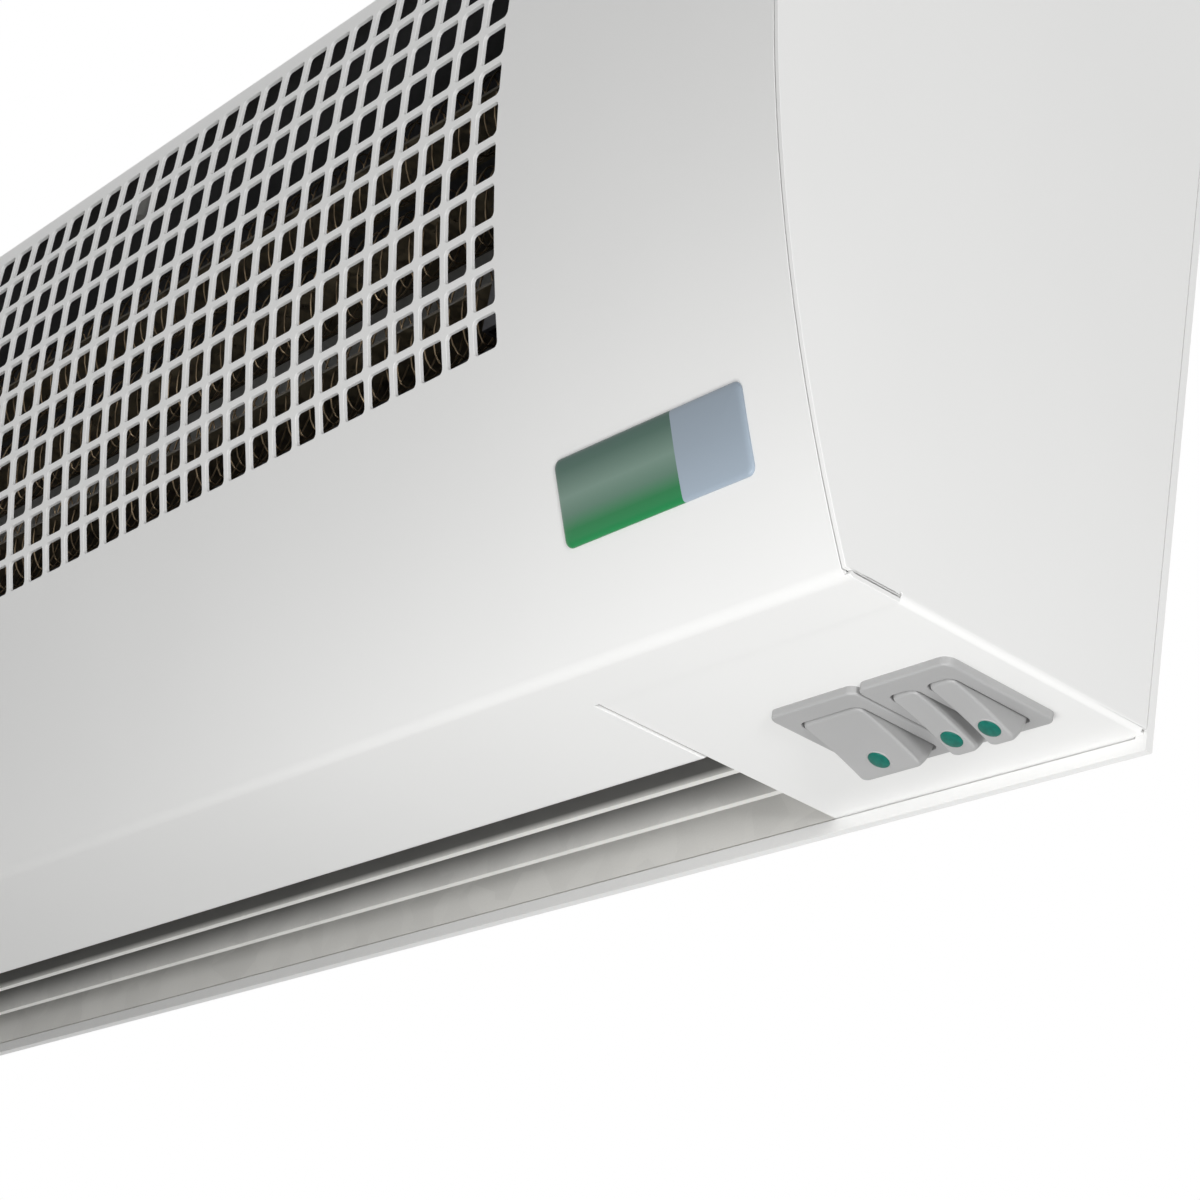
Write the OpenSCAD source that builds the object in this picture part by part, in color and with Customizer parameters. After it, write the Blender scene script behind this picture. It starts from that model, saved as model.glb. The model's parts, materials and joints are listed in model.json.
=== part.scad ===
// Electric air curtain for a doorway: a folded sheet-metal casing hung on a wall plate, with a
// perforated bowed front, stitched-wire heating elements behind it, a long cross-flow fan, an air
// outlet with two guide blades along the underside, and rocker switches under the right end.
// X runs along the casing with +X to the right, the front faces -Y and +Z is up, in millimetres.
// The origin is the middle of the wall plate's rear face. Modules are written with z = 0 at the
// casing's underside and y = 0 at the wall, and hung() moves them to the origin.

/* [Casing] */
// Length over the two end panels
casing_l = 810; // [700:5:1100]
// Height from the underside to the top
casing_h = 181; // [178:1:200]
// Depth of the underside, from the wall to the front crease
under_d = 85; // [84:1:95]
// How far the bowed front stands out past the crease
bulge = 44.8; // [42:0.2:52]
// Thickness of the casing sheet
sheet = 1; // [0.8:0.1:1.2]
// Outer radius of the crease between the front and the underside
crease_r = 3.5; // [2.5:0.1:4]
// Outer radius of the fold between the front and the top
top_r = 3; // [2:0.1:4]
// Depth of the cover's flange on top
top_flange = 16; // [12:1:24]
// Open joint between neighbouring sheets
seam = 0.4; // [0.2:0.05:0.8]
// Length of the blank compartment at the right end
right_comp = 91.5; // [90:0.5:110]
// Length of the blank compartment at the left end
left_comp = 36; // [34:1:60]
// Depth of the cover's narrow flange under the compartments
front_strip = 13.4; // [10:0.2:16]
// How much higher the end panels' bottom plates lie than the cover's flange
plate_up = 0.6; // [0:0.1:1]
// Outer radius of the end panels' lower bend
end_bend_r = 1.6; // [1.4:0.1:5]
// Radius of the relief notch at the rear end of that bend
relief_r = 0.7; // [0.5:0.1:1.2]
// Length of the screws along the cover's top flange
cover_screw_l = 9; // [6:0.5:12]
// Height of the leg folded down at the top panel's rear edge
top_leg = 12; // [8:1:20]

/* [Grille] */
// Distance between neighbouring holes
pitch = 10; // [9.6:0.1:12]
// Width of a square hole
hole = 7.5; // [6:0.1:8]
// Rows of holes
rows = 11; // [6:1:11]
// Arc length from the widest line of the front down to the top row's middle
first_row = 7.5; // [6:0.5:10]
// Blank front at the right end, up to the first hole
blank_r = 92.5; // [90:0.5:120]
// Least blank front at the left end
blank_l = 40; // [36:1:80]

/* [Wall plate] */
// Thickness of the wall plate
plate_t = 1; // [0.8:0.1:1.5]
// How far the wall plate hangs below the underside
lip_h = 2.8; // [2:0.1:6]
// How far the wall plate stands out past each end panel
plate_over = 0; // [0:0.1:3]
// Width of the hem folded forward along the bottom and the sides
hem_w = 3.1; // [3:0.1:10]
// Gap between the end panels and the hem
rear_gap = 0.3; // [0.3:0.1:1]
// Radius of the wall-screw holes
wall_hole_r = 3.3; // [2.5:0.1:4]
// Height of the lower wall screws above the underside
wall_z0 = 20; // [16:1:30]
// Distance of the upper wall screws below the casing's top
wall_dz = 21; // [11:1:41]
// Distance of the wall screws from the end panels
wall_in = 19; // [15:1:21]
// Distance of each hanging keyhole from the middle
key_x = 250; // [150:5:280]
// Distance of the keyholes below the casing's top
key_z = 33; // [26:1:41]
// Radius of a keyhole's round entry
key_r = 5.5; // [5:0.1:7]
// Width of a keyhole's slot
key_w = 6; // [4:0.5:8]
// Radius of the cable hole in the wall plate
cable_hole_r = 9; // [8:0.5:10]
// Radius of the cable passage through the grommet
cable_r = 5; // [4:0.25:6]

/* [Outlet] */
// Depth of the flange from the crease to the outlet's front edge
flange_d = 45.5; // [44:0.5:48]
// Height of the return folded up at the outlet's front edge
return_h = 9; // [6:0.5:12]
// Outer radius of the bend at the outlet's front edge
lip_r = 2; // [1.5:0.1:3]
// Thickness of the duct sheets and guide blades
duct_t = 0.8; // [0.6:0.1:1]
// Height of a guide blade
blade_h = 18; // [12:1:22]
// Height of the blades' lower edges above the underside
blade_z = 4.2; // [3:0.2:8]
// Distance between neighbouring blades, and from them to the duct's walls
blade_gap = 13; // [11:0.5:14]
// Depth of the hem along a blade's lower edge
blade_hem = 5; // [3:0.5:8]

/* [Fan] */
// Radius of the cross-flow wheel
fan_r = 30; // [27:0.5:31]
// Distance of the fan's axis from the wall
fan_y = 58; // [57:0.5:60]
// Height of the fan's axis above the underside
fan_z = 88; // [86:0.5:92]
// Blades round the wheel
fan_blades = 24; // [12:1:30]
// Blade sections along the wheel
fan_sections = 7; // [3:1:9]
// Thickness of a fan blade
vane_t = 0.6; // [0.5:0.05:1]
// Thickness of the wheel's discs
disc_t = 1.2; // [1:0.1:2]
// Free space between the wheel and each bulkhead
fan_gap = 6; // [5:0.5:8]
// Radius of the motor shaft
shaft_r = 4; // [3:0.25:5]
// Radius of the stub shaft at the left end
stub_r = 3; // [2.5:0.25:4]
// Running clearance between a shaft and its bearing
run = 0.05; // [0.02:0.01:0.08]
// Radius of the scroll behind the fan
scroll_r = 44; // [43:0.5:45]
// Outer radius of the scroll's rounded leading edge
scroll_nose = 5; // [3:0.5:6]

/* [Motor] */
// Width of the laminated core
core_w = 62; // [56:1:66]
// Height of the core above the shaft
core_up = 52; // [50:1:58]
// Height of the core below the shaft
core_down = 26; // [22:1:30]
// Thickness of the lamination stack
stack = 25; // [20:1:30]
// Radius of the core's bore
bore_r = 15; // [13:0.5:17]
// Air gap between the rotor and the core
air_gap = 0.35; // [0.3:0.05:0.6]
// Space between the core and each bearing bridge
bridge_gap = 6; // [5:0.5:8]
// Length of the standoffs between the bulkhead and the front bridge
standoff = 10; // [8:0.5:14]
// Distance of each motor screw from the shaft
motor_screw_y = 23; // [21:0.5:25]

/* [Heater] */
// Distance of the lowest element below the casing's top
element_z = 89; // [85:1:91]
// Distance between the elements
element_dz = 30; // [26:1:32]
// Height of the wire loops on each side of their board
loop_h = 12; // [8:0.5:12]
// Distance between neighbouring passes of the wire through the board
loop_pitch = 8; // [6:0.5:16]
// Width of the heating ribbon
wire = 0.8; // [0.6:0.05:1]
// Depth of a board from front to back
board_d = 17; // [12:1:18]
// Thickness of a board
board_t = 0.8; // [0.6:0.1:1]
// Distance from the wall to the front of the end channels
heater_y = 110; // [108:0.5:111]
// Width of an end channel along the casing
channel_w = 14; // [10:1:20]

/* [Switches] */
// Length of a bezel from front to back
bezel_l = 31.6; // [30:0.2:33]
// Width of a bezel along the casing
bezel_w = 26; // [24:0.1:26]
// Thickness of a bezel
bezel_t = 1.9; // [1.5:0.1:2.5]
// Corner radius of a bezel
bezel_r = 2.4; // [1:0.1:3]
// Distance from the right end to the double switch's middle
switch_x = 21.85; // [19:0.05:26]
// Distance between the middles of the two switches
switch_dx = 26.4; // [25.6:0.1:30]
// Distance from the wall to the switches' middle
switch_y = 34; // [30:0.5:40]
// How much nearer to the wall than the bezel's middle the rockers pivot
pivot_in = 1.2; // [0:0.1:1.4]
// Radius of a rocker's ends about its pivot
rocker_r = 11.4; // [11:0.1:13]
// Height of the rocker's pivot above the plate
pivot_up = 0.8; // [0.8:0.1:2]
// Tilt of a rocker to each side of the middle
tilt = 15.6; // [8:0.2:16]
// Angle of a rocker's lower edges below its pivot, in the middle position
edge_a = 30; // [22:1:32]
// Depth of the hollow in a rocker's face
hollow = 0.4; // [0.2:0.1:2]
// Width of the single rocker
wide_w = 17.4; // [17:0.1:20]
// Gap between the double switch's two rockers
rocker_gap = 3.6; // [1.6:0.1:4]
// Clearance round a rocker
rock_clear = 0.3; // [0.2:0.05:0.5]
// Radius of a rocker's trunnions
trunnion_r = 1.2; // [1:0.1:1.5]
// Depth of a switch body behind the plate
switch_d = 23; // [20:0.5:26]
// Radius of the signal lenses
lens_r = 2.5; // [2:0.1:3]
// How far a lens lies in from its rocker's raised end
lens_in = 4.6; // [3.4:0.1:6]

/* [Badge] */
// Width of the blank badge on the front
badge_w = 58.4; // [40:0.2:64]
// Height of the badge
badge_h = 19; // [14:0.5:24]
// Distance from the right end to the badge's middle
badge_x = 47.3; // [36:0.1:60]
// Arc length from the crease up to the badge's middle
badge_up = 31.9; // [24:0.1:50]
// Thickness of the badge
badge_t = 1; // [0.6:0.1:1.6]

/* [Hidden] */

// Colours of the finishes
white = "#F1F1EF";
steel = "#C9CBCC";
dark_steel = "#5E6064";
mica = "#B9A98A";
nichrome = "#6E5B45";
copper = "#B0653A";
brass = "#C8A24E";
black = "#2A2A2C";
grey = "#A6A6A4";
teal = "#0B9482";
green = "#1F7A4A";

// Facets that stand for a true circle, and a length past any cut face
$fn = 96;
past = 1;
fit = 0.1;

// The arcs' numbers are rounded to what a drawing holds, so that neighbouring arcs meet exactly
function rounded(v, step) = round(v / step) * step;

// Front arc: it is vertical at the start of the top fold and passes through the crease
x_end = casing_l / 2;
y_front = -(under_d + bulge);
arc_z = casing_h - top_r;
arc_r = rounded((bulge * bulge + arc_z * arc_z) / (2 * bulge), 0.001);
arc_y = y_front + arc_r;
arc_in = arc_r - sheet;
function deg_of(s) = s / arc_r * 180 / PI;

// Middle of the crease's bend, which touches the arc from inside
bend_y = rounded(arc_y - sqrt(pow(arc_r - crease_r, 2) - pow(arc_z - crease_r, 2)), 0.0001);
bend_a = 360 + atan2(crease_r - arc_z, bend_y - arc_y);

// Lengths along X: cover, bottom plates, duct between the bulkheads
cover_x = x_end - sheet - seam;
right_plate_x = x_end - right_comp;
left_plate_x = -(x_end - left_comp);
bulk_set = 0.5;
bulk_flange = 10;
hem_in = 1;
blade_tab = 8;
duct_x1 = right_plate_x + bulk_set;
duct_x0 = left_plate_x - bulk_set;
duct_l = duct_x1 - duct_x0;

// Depths: rear edges of the end panels, outlet and duct walls
hem_t = 2 * plate_t;
hem_top = max(0, hem_w - lip_h);
hem_x = x_end + plate_over - hem_w;
rear_y = -(hem_t + rear_gap);
outlet_y = -(under_d - flange_d);
strip_y = -(under_d - front_strip);
scroll_y = -(plate_t + duct_t);
plate_z = plate_up + sheet;
inner_top = casing_h - 2 * sheet;
bulk_z = plate_z + fit;

// Wall plate: the origin is the middle of its rear face
plate_mid = (casing_h - lip_h) / 2;
wall_x = x_end - wall_in;

grommet_rim = 2.5;
grommet_x = x_end - right_comp + 54;
earth_x = x_end - right_comp + 26;
wall_zs = [wall_z0, casing_h - wall_dz];

// Screws along the cover's top flange
cover_screw_x = [for (k = [-3:2:3]) k / 3 * (cover_x - 24)];
cover_screw_y = y_front + top_r + top_flange / 2;

// Fan wheel and motor along X
fan_x0 = duct_x0 + fan_gap;
fan_x1 = duct_x1 - fan_gap;
hub_l = 14;
hub_r = 10;
boss_r = 9;
boss_l = 10;
bridge_t = 4;
bearing_r = 6;
bulk_x1 = duct_x1 + sheet;
bridge1_x = bulk_x1 + standoff;
core_x = bridge1_x + bridge_t + bridge_gap;
bridge2_x = core_x + stack + bridge_gap;
motor_end = bridge2_x + bridge_t;
screw_r = 2;
nut_t = 3;
stub_out = 14;
side_limb = 10;
top_limb = 12;
pole_h = 8;
coil_over = 10;
coil_gap = 2;
bush_r = 10;

// Scroll: its arc ends in the vertical rear wall, and its nose turns up to the top
scroll_cy = scroll_y - scroll_r;
nose_gap = 4.6;
scroll_cz = fan_z + fan_r + nose_gap - scroll_r;
scroll_top = scroll_cz + scroll_r;
nose_y = scroll_cy - scroll_nose;

// Grille: columns that fit between the blank ends
cols = floor((casing_l - blank_r - blank_l - hole) / pitch + 0.001) + 1;
col_x = x_end - blank_r - hole / 2;

// Elements above each other, and their boards
elements = 3;
boards_y = -(heater_y - sheet);
function height_of(k) = casing_h - element_z + k * element_dz;
frame_z0 = height_of(0) - loop_h - 2;
frame_h = (elements - 1) * element_dz + 2 * loop_h + 4;
board_x0 = duct_x0 + channel_w - sheet - 4;
board_x1 = duct_x1 - channel_w + sheet + 4;
wire_x0 = duct_x0 + channel_w + 6;
wire_x1 = duct_x1 - channel_w - 6;
passes = 2 * floor((wire_x1 - wire_x0) / loop_pitch / 2);
wire_step = (wire_x1 - wire_x0) / passes;
wire_y = boards_y + 4;

// Bimetal cut-out beside the heater channel, near the top
cutout_r = 7;
cutout_y = -(boards_y + board_d) - cutout_r - 5;
cutout_z = inner_top - cutout_r - 8;

// Switches
double_x = x_end - switch_x;
single_x = double_x - switch_dx;
pivot_z = plate_up + pivot_up;
body_w = bezel_w - 2.9;
body_l = bezel_l - 2.2;
pivot_y = switch_y - pivot_in;
window_w = wide_w + 2 * rock_clear;
slim_w = (wide_w - rocker_gap) / 2;
slim_dx = (slim_w + rocker_gap) / 2;
edge_y = rocker_r * cos(edge_a);
edge_z = rocker_r * sin(edge_a);
face_r = (edge_y * edge_y + hollow * hollow) / (2 * hollow);
rocker_top = 5;
web_t = rocker_gap - 2 * rock_clear;
trunnion_l = min(1, web_t / 2 + rock_clear - fit);
lens_out = 0.3;
tab_l = 9;

// Terminal block beside the motor
ways = 6;
block_w = 8 * ways;
block_h = 18;
block_d = 16;
block_x = bulk_x1 + 13;
block_z = wall_zs[1] - 34;

// The cable hole and the earth stud lie below the terminal block, with room for the wires
wire_room = 9.5;
wiring_z = block_z - cable_hole_r - grommet_rim - wire_room;

// ---- Helpers ----

// Moves the casing so that the middle of the wall plate's rear face is the origin
module hung() {
    translate([0, 0, -plate_mid]) children();
}

// Extrudes a (y, z) outline along X
module along_x(x0, l) {
    rotate([90, 0, 90]) translate([0, 0, x0]) linear_extrude(l) children();
}

// Extrudes an (x, z) outline along Y, from y0 towards the wall
module along_y(y0, l) {
    translate([0, y0 + l, 0]) rotate([90, 0, 0]) linear_extrude(l) children();
}

// Box from its lowest corner to its highest
module block(a, b) {
    translate(a) cube(b - a);
}

// Cylinder along X at (y, z)
module rod(x0, x1, r, y, z) {
    translate([x0, y, z]) rotate([0, 90, 0]) cylinder(r = r, h = x1 - x0);
}

// Part of a ring between two angles less than 180 degrees apart
module ring_sector(c, ro, ri, a0, a1) {
    far = 3 * ro;
    translate(c) intersection() {
        difference() {
            circle(r = ro);
            circle(r = ri);
        }
        polygon([[0, 0], far * [cos(a0), sin(a0)],
            far * [cos((a0 + a1) / 2), sin((a0 + a1) / 2)], far * [cos(a1), sin(a1)]]);
    }
}

// Rectangle with round corners, about its middle
module round_rect(w, h, r) {
    square([w - 2 * r, h], center = true);
    square([w, h - 2 * r], center = true);
    for (x = [-1, 1], y = [-1, 1])
        translate([x * (w / 2 - r), y * (h / 2 - r)]) circle(r = r);
}

// Places an X-facing outline on the front arc, s millimetres below its widest line
module on_front(s) {
    translate([0, arc_y, arc_z]) rotate([deg_of(s), 0, 0]) translate([0, -arc_r, 0]) children();
}

// Outline (y, z) of everything inside the casing sheet, drawn in by d
module inside(d, y1, z0, z1) {
    intersection() {
        translate([arc_y, arc_z]) circle(r = arc_r - d);
        translate([y_front, z0]) square([y1 - y_front, z1 - z0]);
    }
}

// ---- Casing ----

// Section of the cover: top flange, top fold, bowed front, crease, bottom flange and its return
module cover_section() {
    translate([y_front + top_r, casing_h - sheet]) square([top_flange, sheet]);
    ring_sector([y_front + top_r, arc_z], top_r, top_r - sheet, 90, 180);
    ring_sector([arc_y, arc_z], arc_r, arc_in, 180, bend_a);
    ring_sector([bend_y, crease_r], crease_r, crease_r - sheet, bend_a, 270);
    translate([bend_y, 0]) square([outlet_y - lip_r - bend_y, sheet]);
    ring_sector([outlet_y - lip_r, lip_r], lip_r, lip_r - sheet, 270, 360);
    translate([outlet_y - sheet, lip_r]) square([sheet, return_h - lip_r]);
}

module grille_holes() {
    for (row = [0:rows - 1])
        on_front(first_row + row * pitch)
            rotate([90, 0, 0]) translate([0, 0, -sheet - past]) linear_extrude(sheet + 2 * past)
                for (col = [0:cols - 1])
                    translate([col_x - col * pitch, 0]) square(hole, center = true);
}

module front_cover() {
    flange_cut = [outlet_y + past, return_h + past];
    color(white) hung() difference() {
        union() {
            along_x(-cover_x, 2 * cover_x) cover_section();
            // The flange goes on under the end panels' side sheets
            along_x(-x_end, casing_l) {
                ring_sector([bend_y, crease_r], crease_r, crease_r - sheet, 240, 270);
                translate([bend_y, 0]) square([strip_y + past - bend_y, sheet]);
            }
        }
        grille_holes();
        block([right_plate_x - seam, strip_y, -past], [x_end + past, flange_cut[0], flange_cut[1]]);
        block([-x_end - past, strip_y, -past], [left_plate_x + seam, flange_cut[0], flange_cut[1]]);
        for (x = cover_screw_x) translate([x, cover_screw_y, casing_h - sheet - past])
            cylinder(r = screw_r, h = sheet + 2 * past);
    }
}

module cover_screws() {
    color(steel) hung() for (x = cover_screw_x) translate([x, cover_screw_y, 0]) {
        translate([0, 0, casing_h]) cylinder(r = 2 * screw_r, h = 1.6);
        translate([0, 0, casing_h - cover_screw_l]) cylinder(r = screw_r - run, h = cover_screw_l + 0.5);
    }
}

module top_panel() {
    x = cover_x;
    color(white) hung() difference() {
        union() {
            block([-x, y_front + top_r + 1, inner_top], [x, -plate_t, casing_h - sheet]);
            block([-x, -plate_t - sheet, inner_top - top_leg], [x, -plate_t, inner_top]);
        }
        for (x = cover_screw_x) translate([x, cover_screw_y, inner_top - past])
            cylinder(r = screw_r, h = sheet + 2 * past);
        for (m = [0, 1]) mirror([m, 0, 0])
            block([hem_x - fit, -plate_t - sheet - past, 0], [x_end, past, casing_h]);
        for (x = [duct_x0 - sheet, duct_x1]) block([x - fit, -plate_t - sheet - past, 0],
            [x + sheet + fit, past, inner_top]);
    }
}

// Outline (y, z) of an end panel's side sheet
module side_outline() {
    inside(0, rear_y, 0, arc_z);
    translate([y_front + top_r, arc_z]) square([rear_y - y_front - top_r, top_r]);
    intersection() {
        translate([y_front + top_r, arc_z]) circle(r = top_r);
        translate([y_front, arc_z]) square(top_r);
    }
}

// End panel at the right: side sheet, and a bottom plate of length l bent in from it
module end_panel(l) {
    plate_y = strip_y + seam;
    difference() {
        union() {
            difference() {
                along_x(x_end - sheet, sheet) side_outline();
                block([x_end - sheet - past, y_front, -past], [x_end + past, 0, sheet + seam]);
                block([x_end - sheet - past, plate_y - seam, -past],
                    [x_end + past, 0, plate_up + end_bend_r]);
            }
            translate([0, plate_y, 0]) translate([0, rear_y - plate_y, 0]) rotate([90, 0, 0])
                linear_extrude(rear_y - plate_y)
                    ring_sector([x_end - end_bend_r, plate_up + end_bend_r],
                        end_bend_r, end_bend_r - sheet, 270, 360);
            block([x_end - l, plate_y, plate_up], [x_end - end_bend_r, rear_y, plate_z]);
            // Rear flange that stands against the wall plate
            block([x_end - hem_w - 12, rear_y - sheet, 24], [x_end - sheet, rear_y, casing_h - 24]);
            block([x_end - hem_w - 12, rear_y - sheet, 24],
                [x_end - hem_w - 12 + sheet, -plate_t, casing_h - 24]);
        }
        translate([x_end - end_bend_r, rear_y - relief_r / 2, plate_up + end_bend_r])
            rotate([0, 135, 0]) cylinder(r = relief_r, h = end_bend_r + past);
        // Access to the wall screws
        for (z = wall_zs) translate([wall_x, -past, z]) rotate([90, 0, 0])
            cylinder(r = 2 * wall_hole_r, h = 20);
    }
}

module right_end_panel() {
    color(white) hung() difference() {
        end_panel(right_comp);
        for (x = [single_x, double_x])
            block([x - body_w / 2 - fit, -switch_y - body_l / 2 - fit, -past],
                [x + body_w / 2 + fit, -switch_y + body_l / 2 + fit, plate_z + past]);
    }
}

module left_end_panel() {
    color(white) hung() mirror([1, 0, 0]) end_panel(left_comp);
}

module back_plate() {
    w = x_end + plate_over;
    color(white) hung() difference() {
        union() {
            block([-w, -plate_t, -lip_h], [w, 0, casing_h]);
            block([-w, -hem_t, -lip_h], [w, -plate_t, hem_w - lip_h]);
            for (s = [-1, 1])
                block([min(s * w, s * (w - hem_w)), -hem_t, -lip_h],
                    [max(s * w, s * (w - hem_w)), -plate_t, casing_h]);
        }
        along_y(-hem_t - past, hem_t + 2 * past) {
            for (x = [-wall_x, wall_x], z = wall_zs)
                translate([x, z]) circle(r = wall_hole_r);
            for (x = [-key_x, key_x]) translate([x, casing_h - key_z]) {
                circle(r = key_r);
                translate([-key_w / 2, 0]) square([key_w, 2 * key_r + key_w / 2]);
                translate([0, 2 * key_r + key_w / 2]) circle(r = key_w / 2);
            }
            translate([grommet_x, wiring_z]) circle(r = cable_hole_r);
            translate([earth_x, wiring_z]) circle(r = screw_r + run);
        }
    }
}

// Rubber grommet snapped into the cable hole, flush with the wall plate's rear face
module cable_grommet() {
    color(black) hung() translate([grommet_x, 0, wiring_z]) rotate([90, 0, 0]) difference() {
        union() {
            cylinder(r = cable_hole_r - run, h = plate_t);
            translate([0, 0, plate_t]) cylinder(r = cable_hole_r + grommet_rim, h = 3);
            translate([0, 0, plate_t]) cylinder(r = cable_r + 2, h = 8);
        }
        translate([0, 0, -past]) cylinder(r = cable_r, h = 12);
    }
}

// Threaded stud, washer and nut for the earth wire
module earth_stud() {
    color(brass) hung() translate([earth_x, 0, wiring_z]) rotate([90, 0, 0]) {
        cylinder(r = screw_r, h = 14);
        translate([0, 0, plate_t]) cylinder(r = 2.4 * screw_r, h = 1);
        translate([0, 0, plate_t + 1]) cylinder(r = 2 * screw_r, h = nut_t, $fn = 6);
    }
}

// ---- Duct ----

// Outline (y, z) of a bulkhead
module bulkhead_outline() {
    difference() {
        inside(sheet + fit, -plate_t, bulk_z, inner_top);
        translate([y_front, 0]) square([bulge + crease_r + 2, crease_r + 2]);
        translate([y_front, arc_z]) square([top_r, top_r]);
        translate([-hem_t - fit, 0]) square([hem_t + fit, hem_top + fit]);
    }
}

// Bulkhead sheet from x0, with a rear flange on the side given by dir
module bulkhead(x0, dir) {
    along_x(x0, sheet) bulkhead_outline();
    flange_x = dir > 0 ? x0 + sheet : x0 - bulk_flange;
    block([flange_x, -plate_t - sheet, hem_w + 4],
        [flange_x + bulk_flange, -plate_t, inner_top - top_leg - 2]);
}

module right_bulkhead() {
    color(steel) hung() difference() {
        bulkhead(duct_x1, 1);
        rod(duct_x1 - past, bulk_x1 + past, boss_r, -fan_y, fan_z);
        rod(duct_x1 - past, bulk_x1 + past, cutout_r + fit, -cutout_y, cutout_z);
        for (s = [-1, 1])
            rod(duct_x1 - past, bulk_x1 + past, screw_r + run, -fan_y + s * motor_screw_y, fan_z);
    }
}

module left_bulkhead() {
    color(steel) hung() difference() {
        bulkhead(duct_x0 - sheet, -1);
        rod(duct_x0 - sheet - past, duct_x0 + past, bush_r, -fan_y, fan_z);
    }
}

// Rear wall of the duct, curled round the fan and turned up to the top panel at its nose
module rear_scroll() {
    z0 = hem_top + seam;
    color(steel) hung() along_x(duct_x0, duct_l) {
        translate([scroll_y, z0]) square([duct_t, scroll_cz - z0]);
        ring_sector([scroll_cy, scroll_cz], scroll_r + duct_t, scroll_r, 0, 90);
        ring_sector([scroll_cy, scroll_top + scroll_nose], scroll_nose, scroll_nose - duct_t,
            180, 270);
        translate([nose_y, scroll_top + scroll_nose])
            square([duct_t, inner_top - scroll_top - scroll_nose]);
    }
}

// Front wall of the duct, cranked forward under the fan
module front_tongue() {
    y0 = outlet_y - sheet;
    lip_gap = 4;
    tip = [-fan_y, fan_z] + (fan_r + lip_gap) * [cos(250), sin(250)];
    knee = fan_z - fan_r - 21;
    color(steel) hung() along_x(duct_x0, duct_l) polygon([
        [y0, lip_r + fit], [y0, knee], [tip[0], tip[1]], [tip[0], tip[1] - 1.1 * duct_t],
        [y0 - duct_t, knee - duct_t / 2], [y0 - duct_t, lip_r + fit]]);
}

// Guide blade along the outlet with a hemmed lower edge and a tab at each end
module guide_blade(y) {
    color(steel) hung() {
        block([duct_x0, y - duct_t / 2, blade_z], [duct_x1, y + duct_t / 2, blade_z + blade_h]);
        block([duct_x0 + hem_in, y + duct_t / 2, blade_z],
            [duct_x1 - hem_in, y + 1.5 * duct_t, blade_z + blade_hem]);
        for (x = [duct_x0, duct_x1 - duct_t])
            block([x, y, blade_z + blade_hem + 1], [x + duct_t, y + blade_tab, blade_z + blade_h]);
    }
}

module front_guide_blade() { guide_blade(outlet_y + blade_gap); }

module rear_guide_blade() { guide_blade(outlet_y + 2 * blade_gap); }

// ---- Heater ----

// Channel that carries the boards' ends; its outer leg stands on a bulkhead
module heater_channel() {
    y0 = -heater_y;
    y1 = boards_y + board_d;
    color(dark_steel) hung() difference() {
        block([duct_x1 - channel_w, y0, frame_z0], [duct_x1, y1, frame_z0 + frame_h]);
        block([duct_x1 - channel_w + sheet, y0 + sheet, frame_z0 - past],
            [duct_x1 - sheet, y1 + past, frame_z0 + frame_h + past]);
        for (k = [0:elements - 1]) translate([0, 0, height_of(k)])
            block([duct_x1 - channel_w - past, y0 + sheet, -board_t / 2 - fit],
                [duct_x1 - channel_w + sheet + past, y1 + past, board_t / 2 + fit]);
    }
}

module right_heater_channel() { heater_channel(); }

module left_heater_channel() {
    translate([duct_x0 + duct_x1, 0, 0]) mirror([1, 0, 0]) heater_channel();
}

// Insulating board with a slot for each pass of the wire
module heater_board(k) {
    slot = wire + 2 * fit;
    color(mica) hung() translate([0, 0, height_of(k) - board_t / 2])
        linear_extrude(board_t) difference() {
            translate([board_x0, boards_y + fit]) square([board_x1 - board_x0, board_d - fit]);
            for (n = [0:passes]) translate([wire_x0 + n * wire_step, wire_y])
                square(slot, center = true);
        }
}

module lower_heater_board() { heater_board(0); }
module middle_heater_board() { heater_board(1); }
module upper_heater_board() { heater_board(2); }

// Ribbon threaded through one board: loops stand above and below it in turn. Its outline goes
// along one side of the path and comes back along the other.
module heating_wire(k) {
    h = wire / 2;
    function pass_x(n) = wire_x0 + n * wire_step;
    left = [for (n = [0:passes], end = [0, 1])
        n % 2 == 0 ? [pass_x(n) - h, end == 1 ? loop_h : n == 0 ? -loop_h : wire - loop_h]
            : [pass_x(n) + h, end == 0 ? loop_h : wire - loop_h]];
    right = [for (n = [passes:-1:0], end = [0, 1])
        n % 2 == 0 ? [pass_x(n) + h, end == 1 ? -loop_h : n == passes ? loop_h : loop_h - wire]
            : [pass_x(n) - h, end == 0 ? -loop_h : loop_h - wire]];
    color(nichrome) hung() translate([0, 0, height_of(k)])
        along_y(wire_y - h, wire) polygon(concat(left, right));
}

module lower_heating_wire() { heating_wire(0); }
module middle_heating_wire() { heating_wire(1); }
module upper_heating_wire() { heating_wire(2); }

// Bimetal cut-out through the right bulkhead, with two tabs
module thermal_cutout() {
    color(black) hung() {
        rod(duct_x1 - 3, bulk_x1, cutout_r, -cutout_y, cutout_z);
        rod(bulk_x1, bulk_x1 + 7, cutout_r + 2, -cutout_y, cutout_z);
        for (s = [-1, 1])
            block([bulk_x1 + 6, -cutout_y + s * 4 - 2, cutout_z - 0.4],
                [bulk_x1 + 15, -cutout_y + s * 4 + 2, cutout_z + 0.4]);
    }
}

// ---- Fan ----

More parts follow.
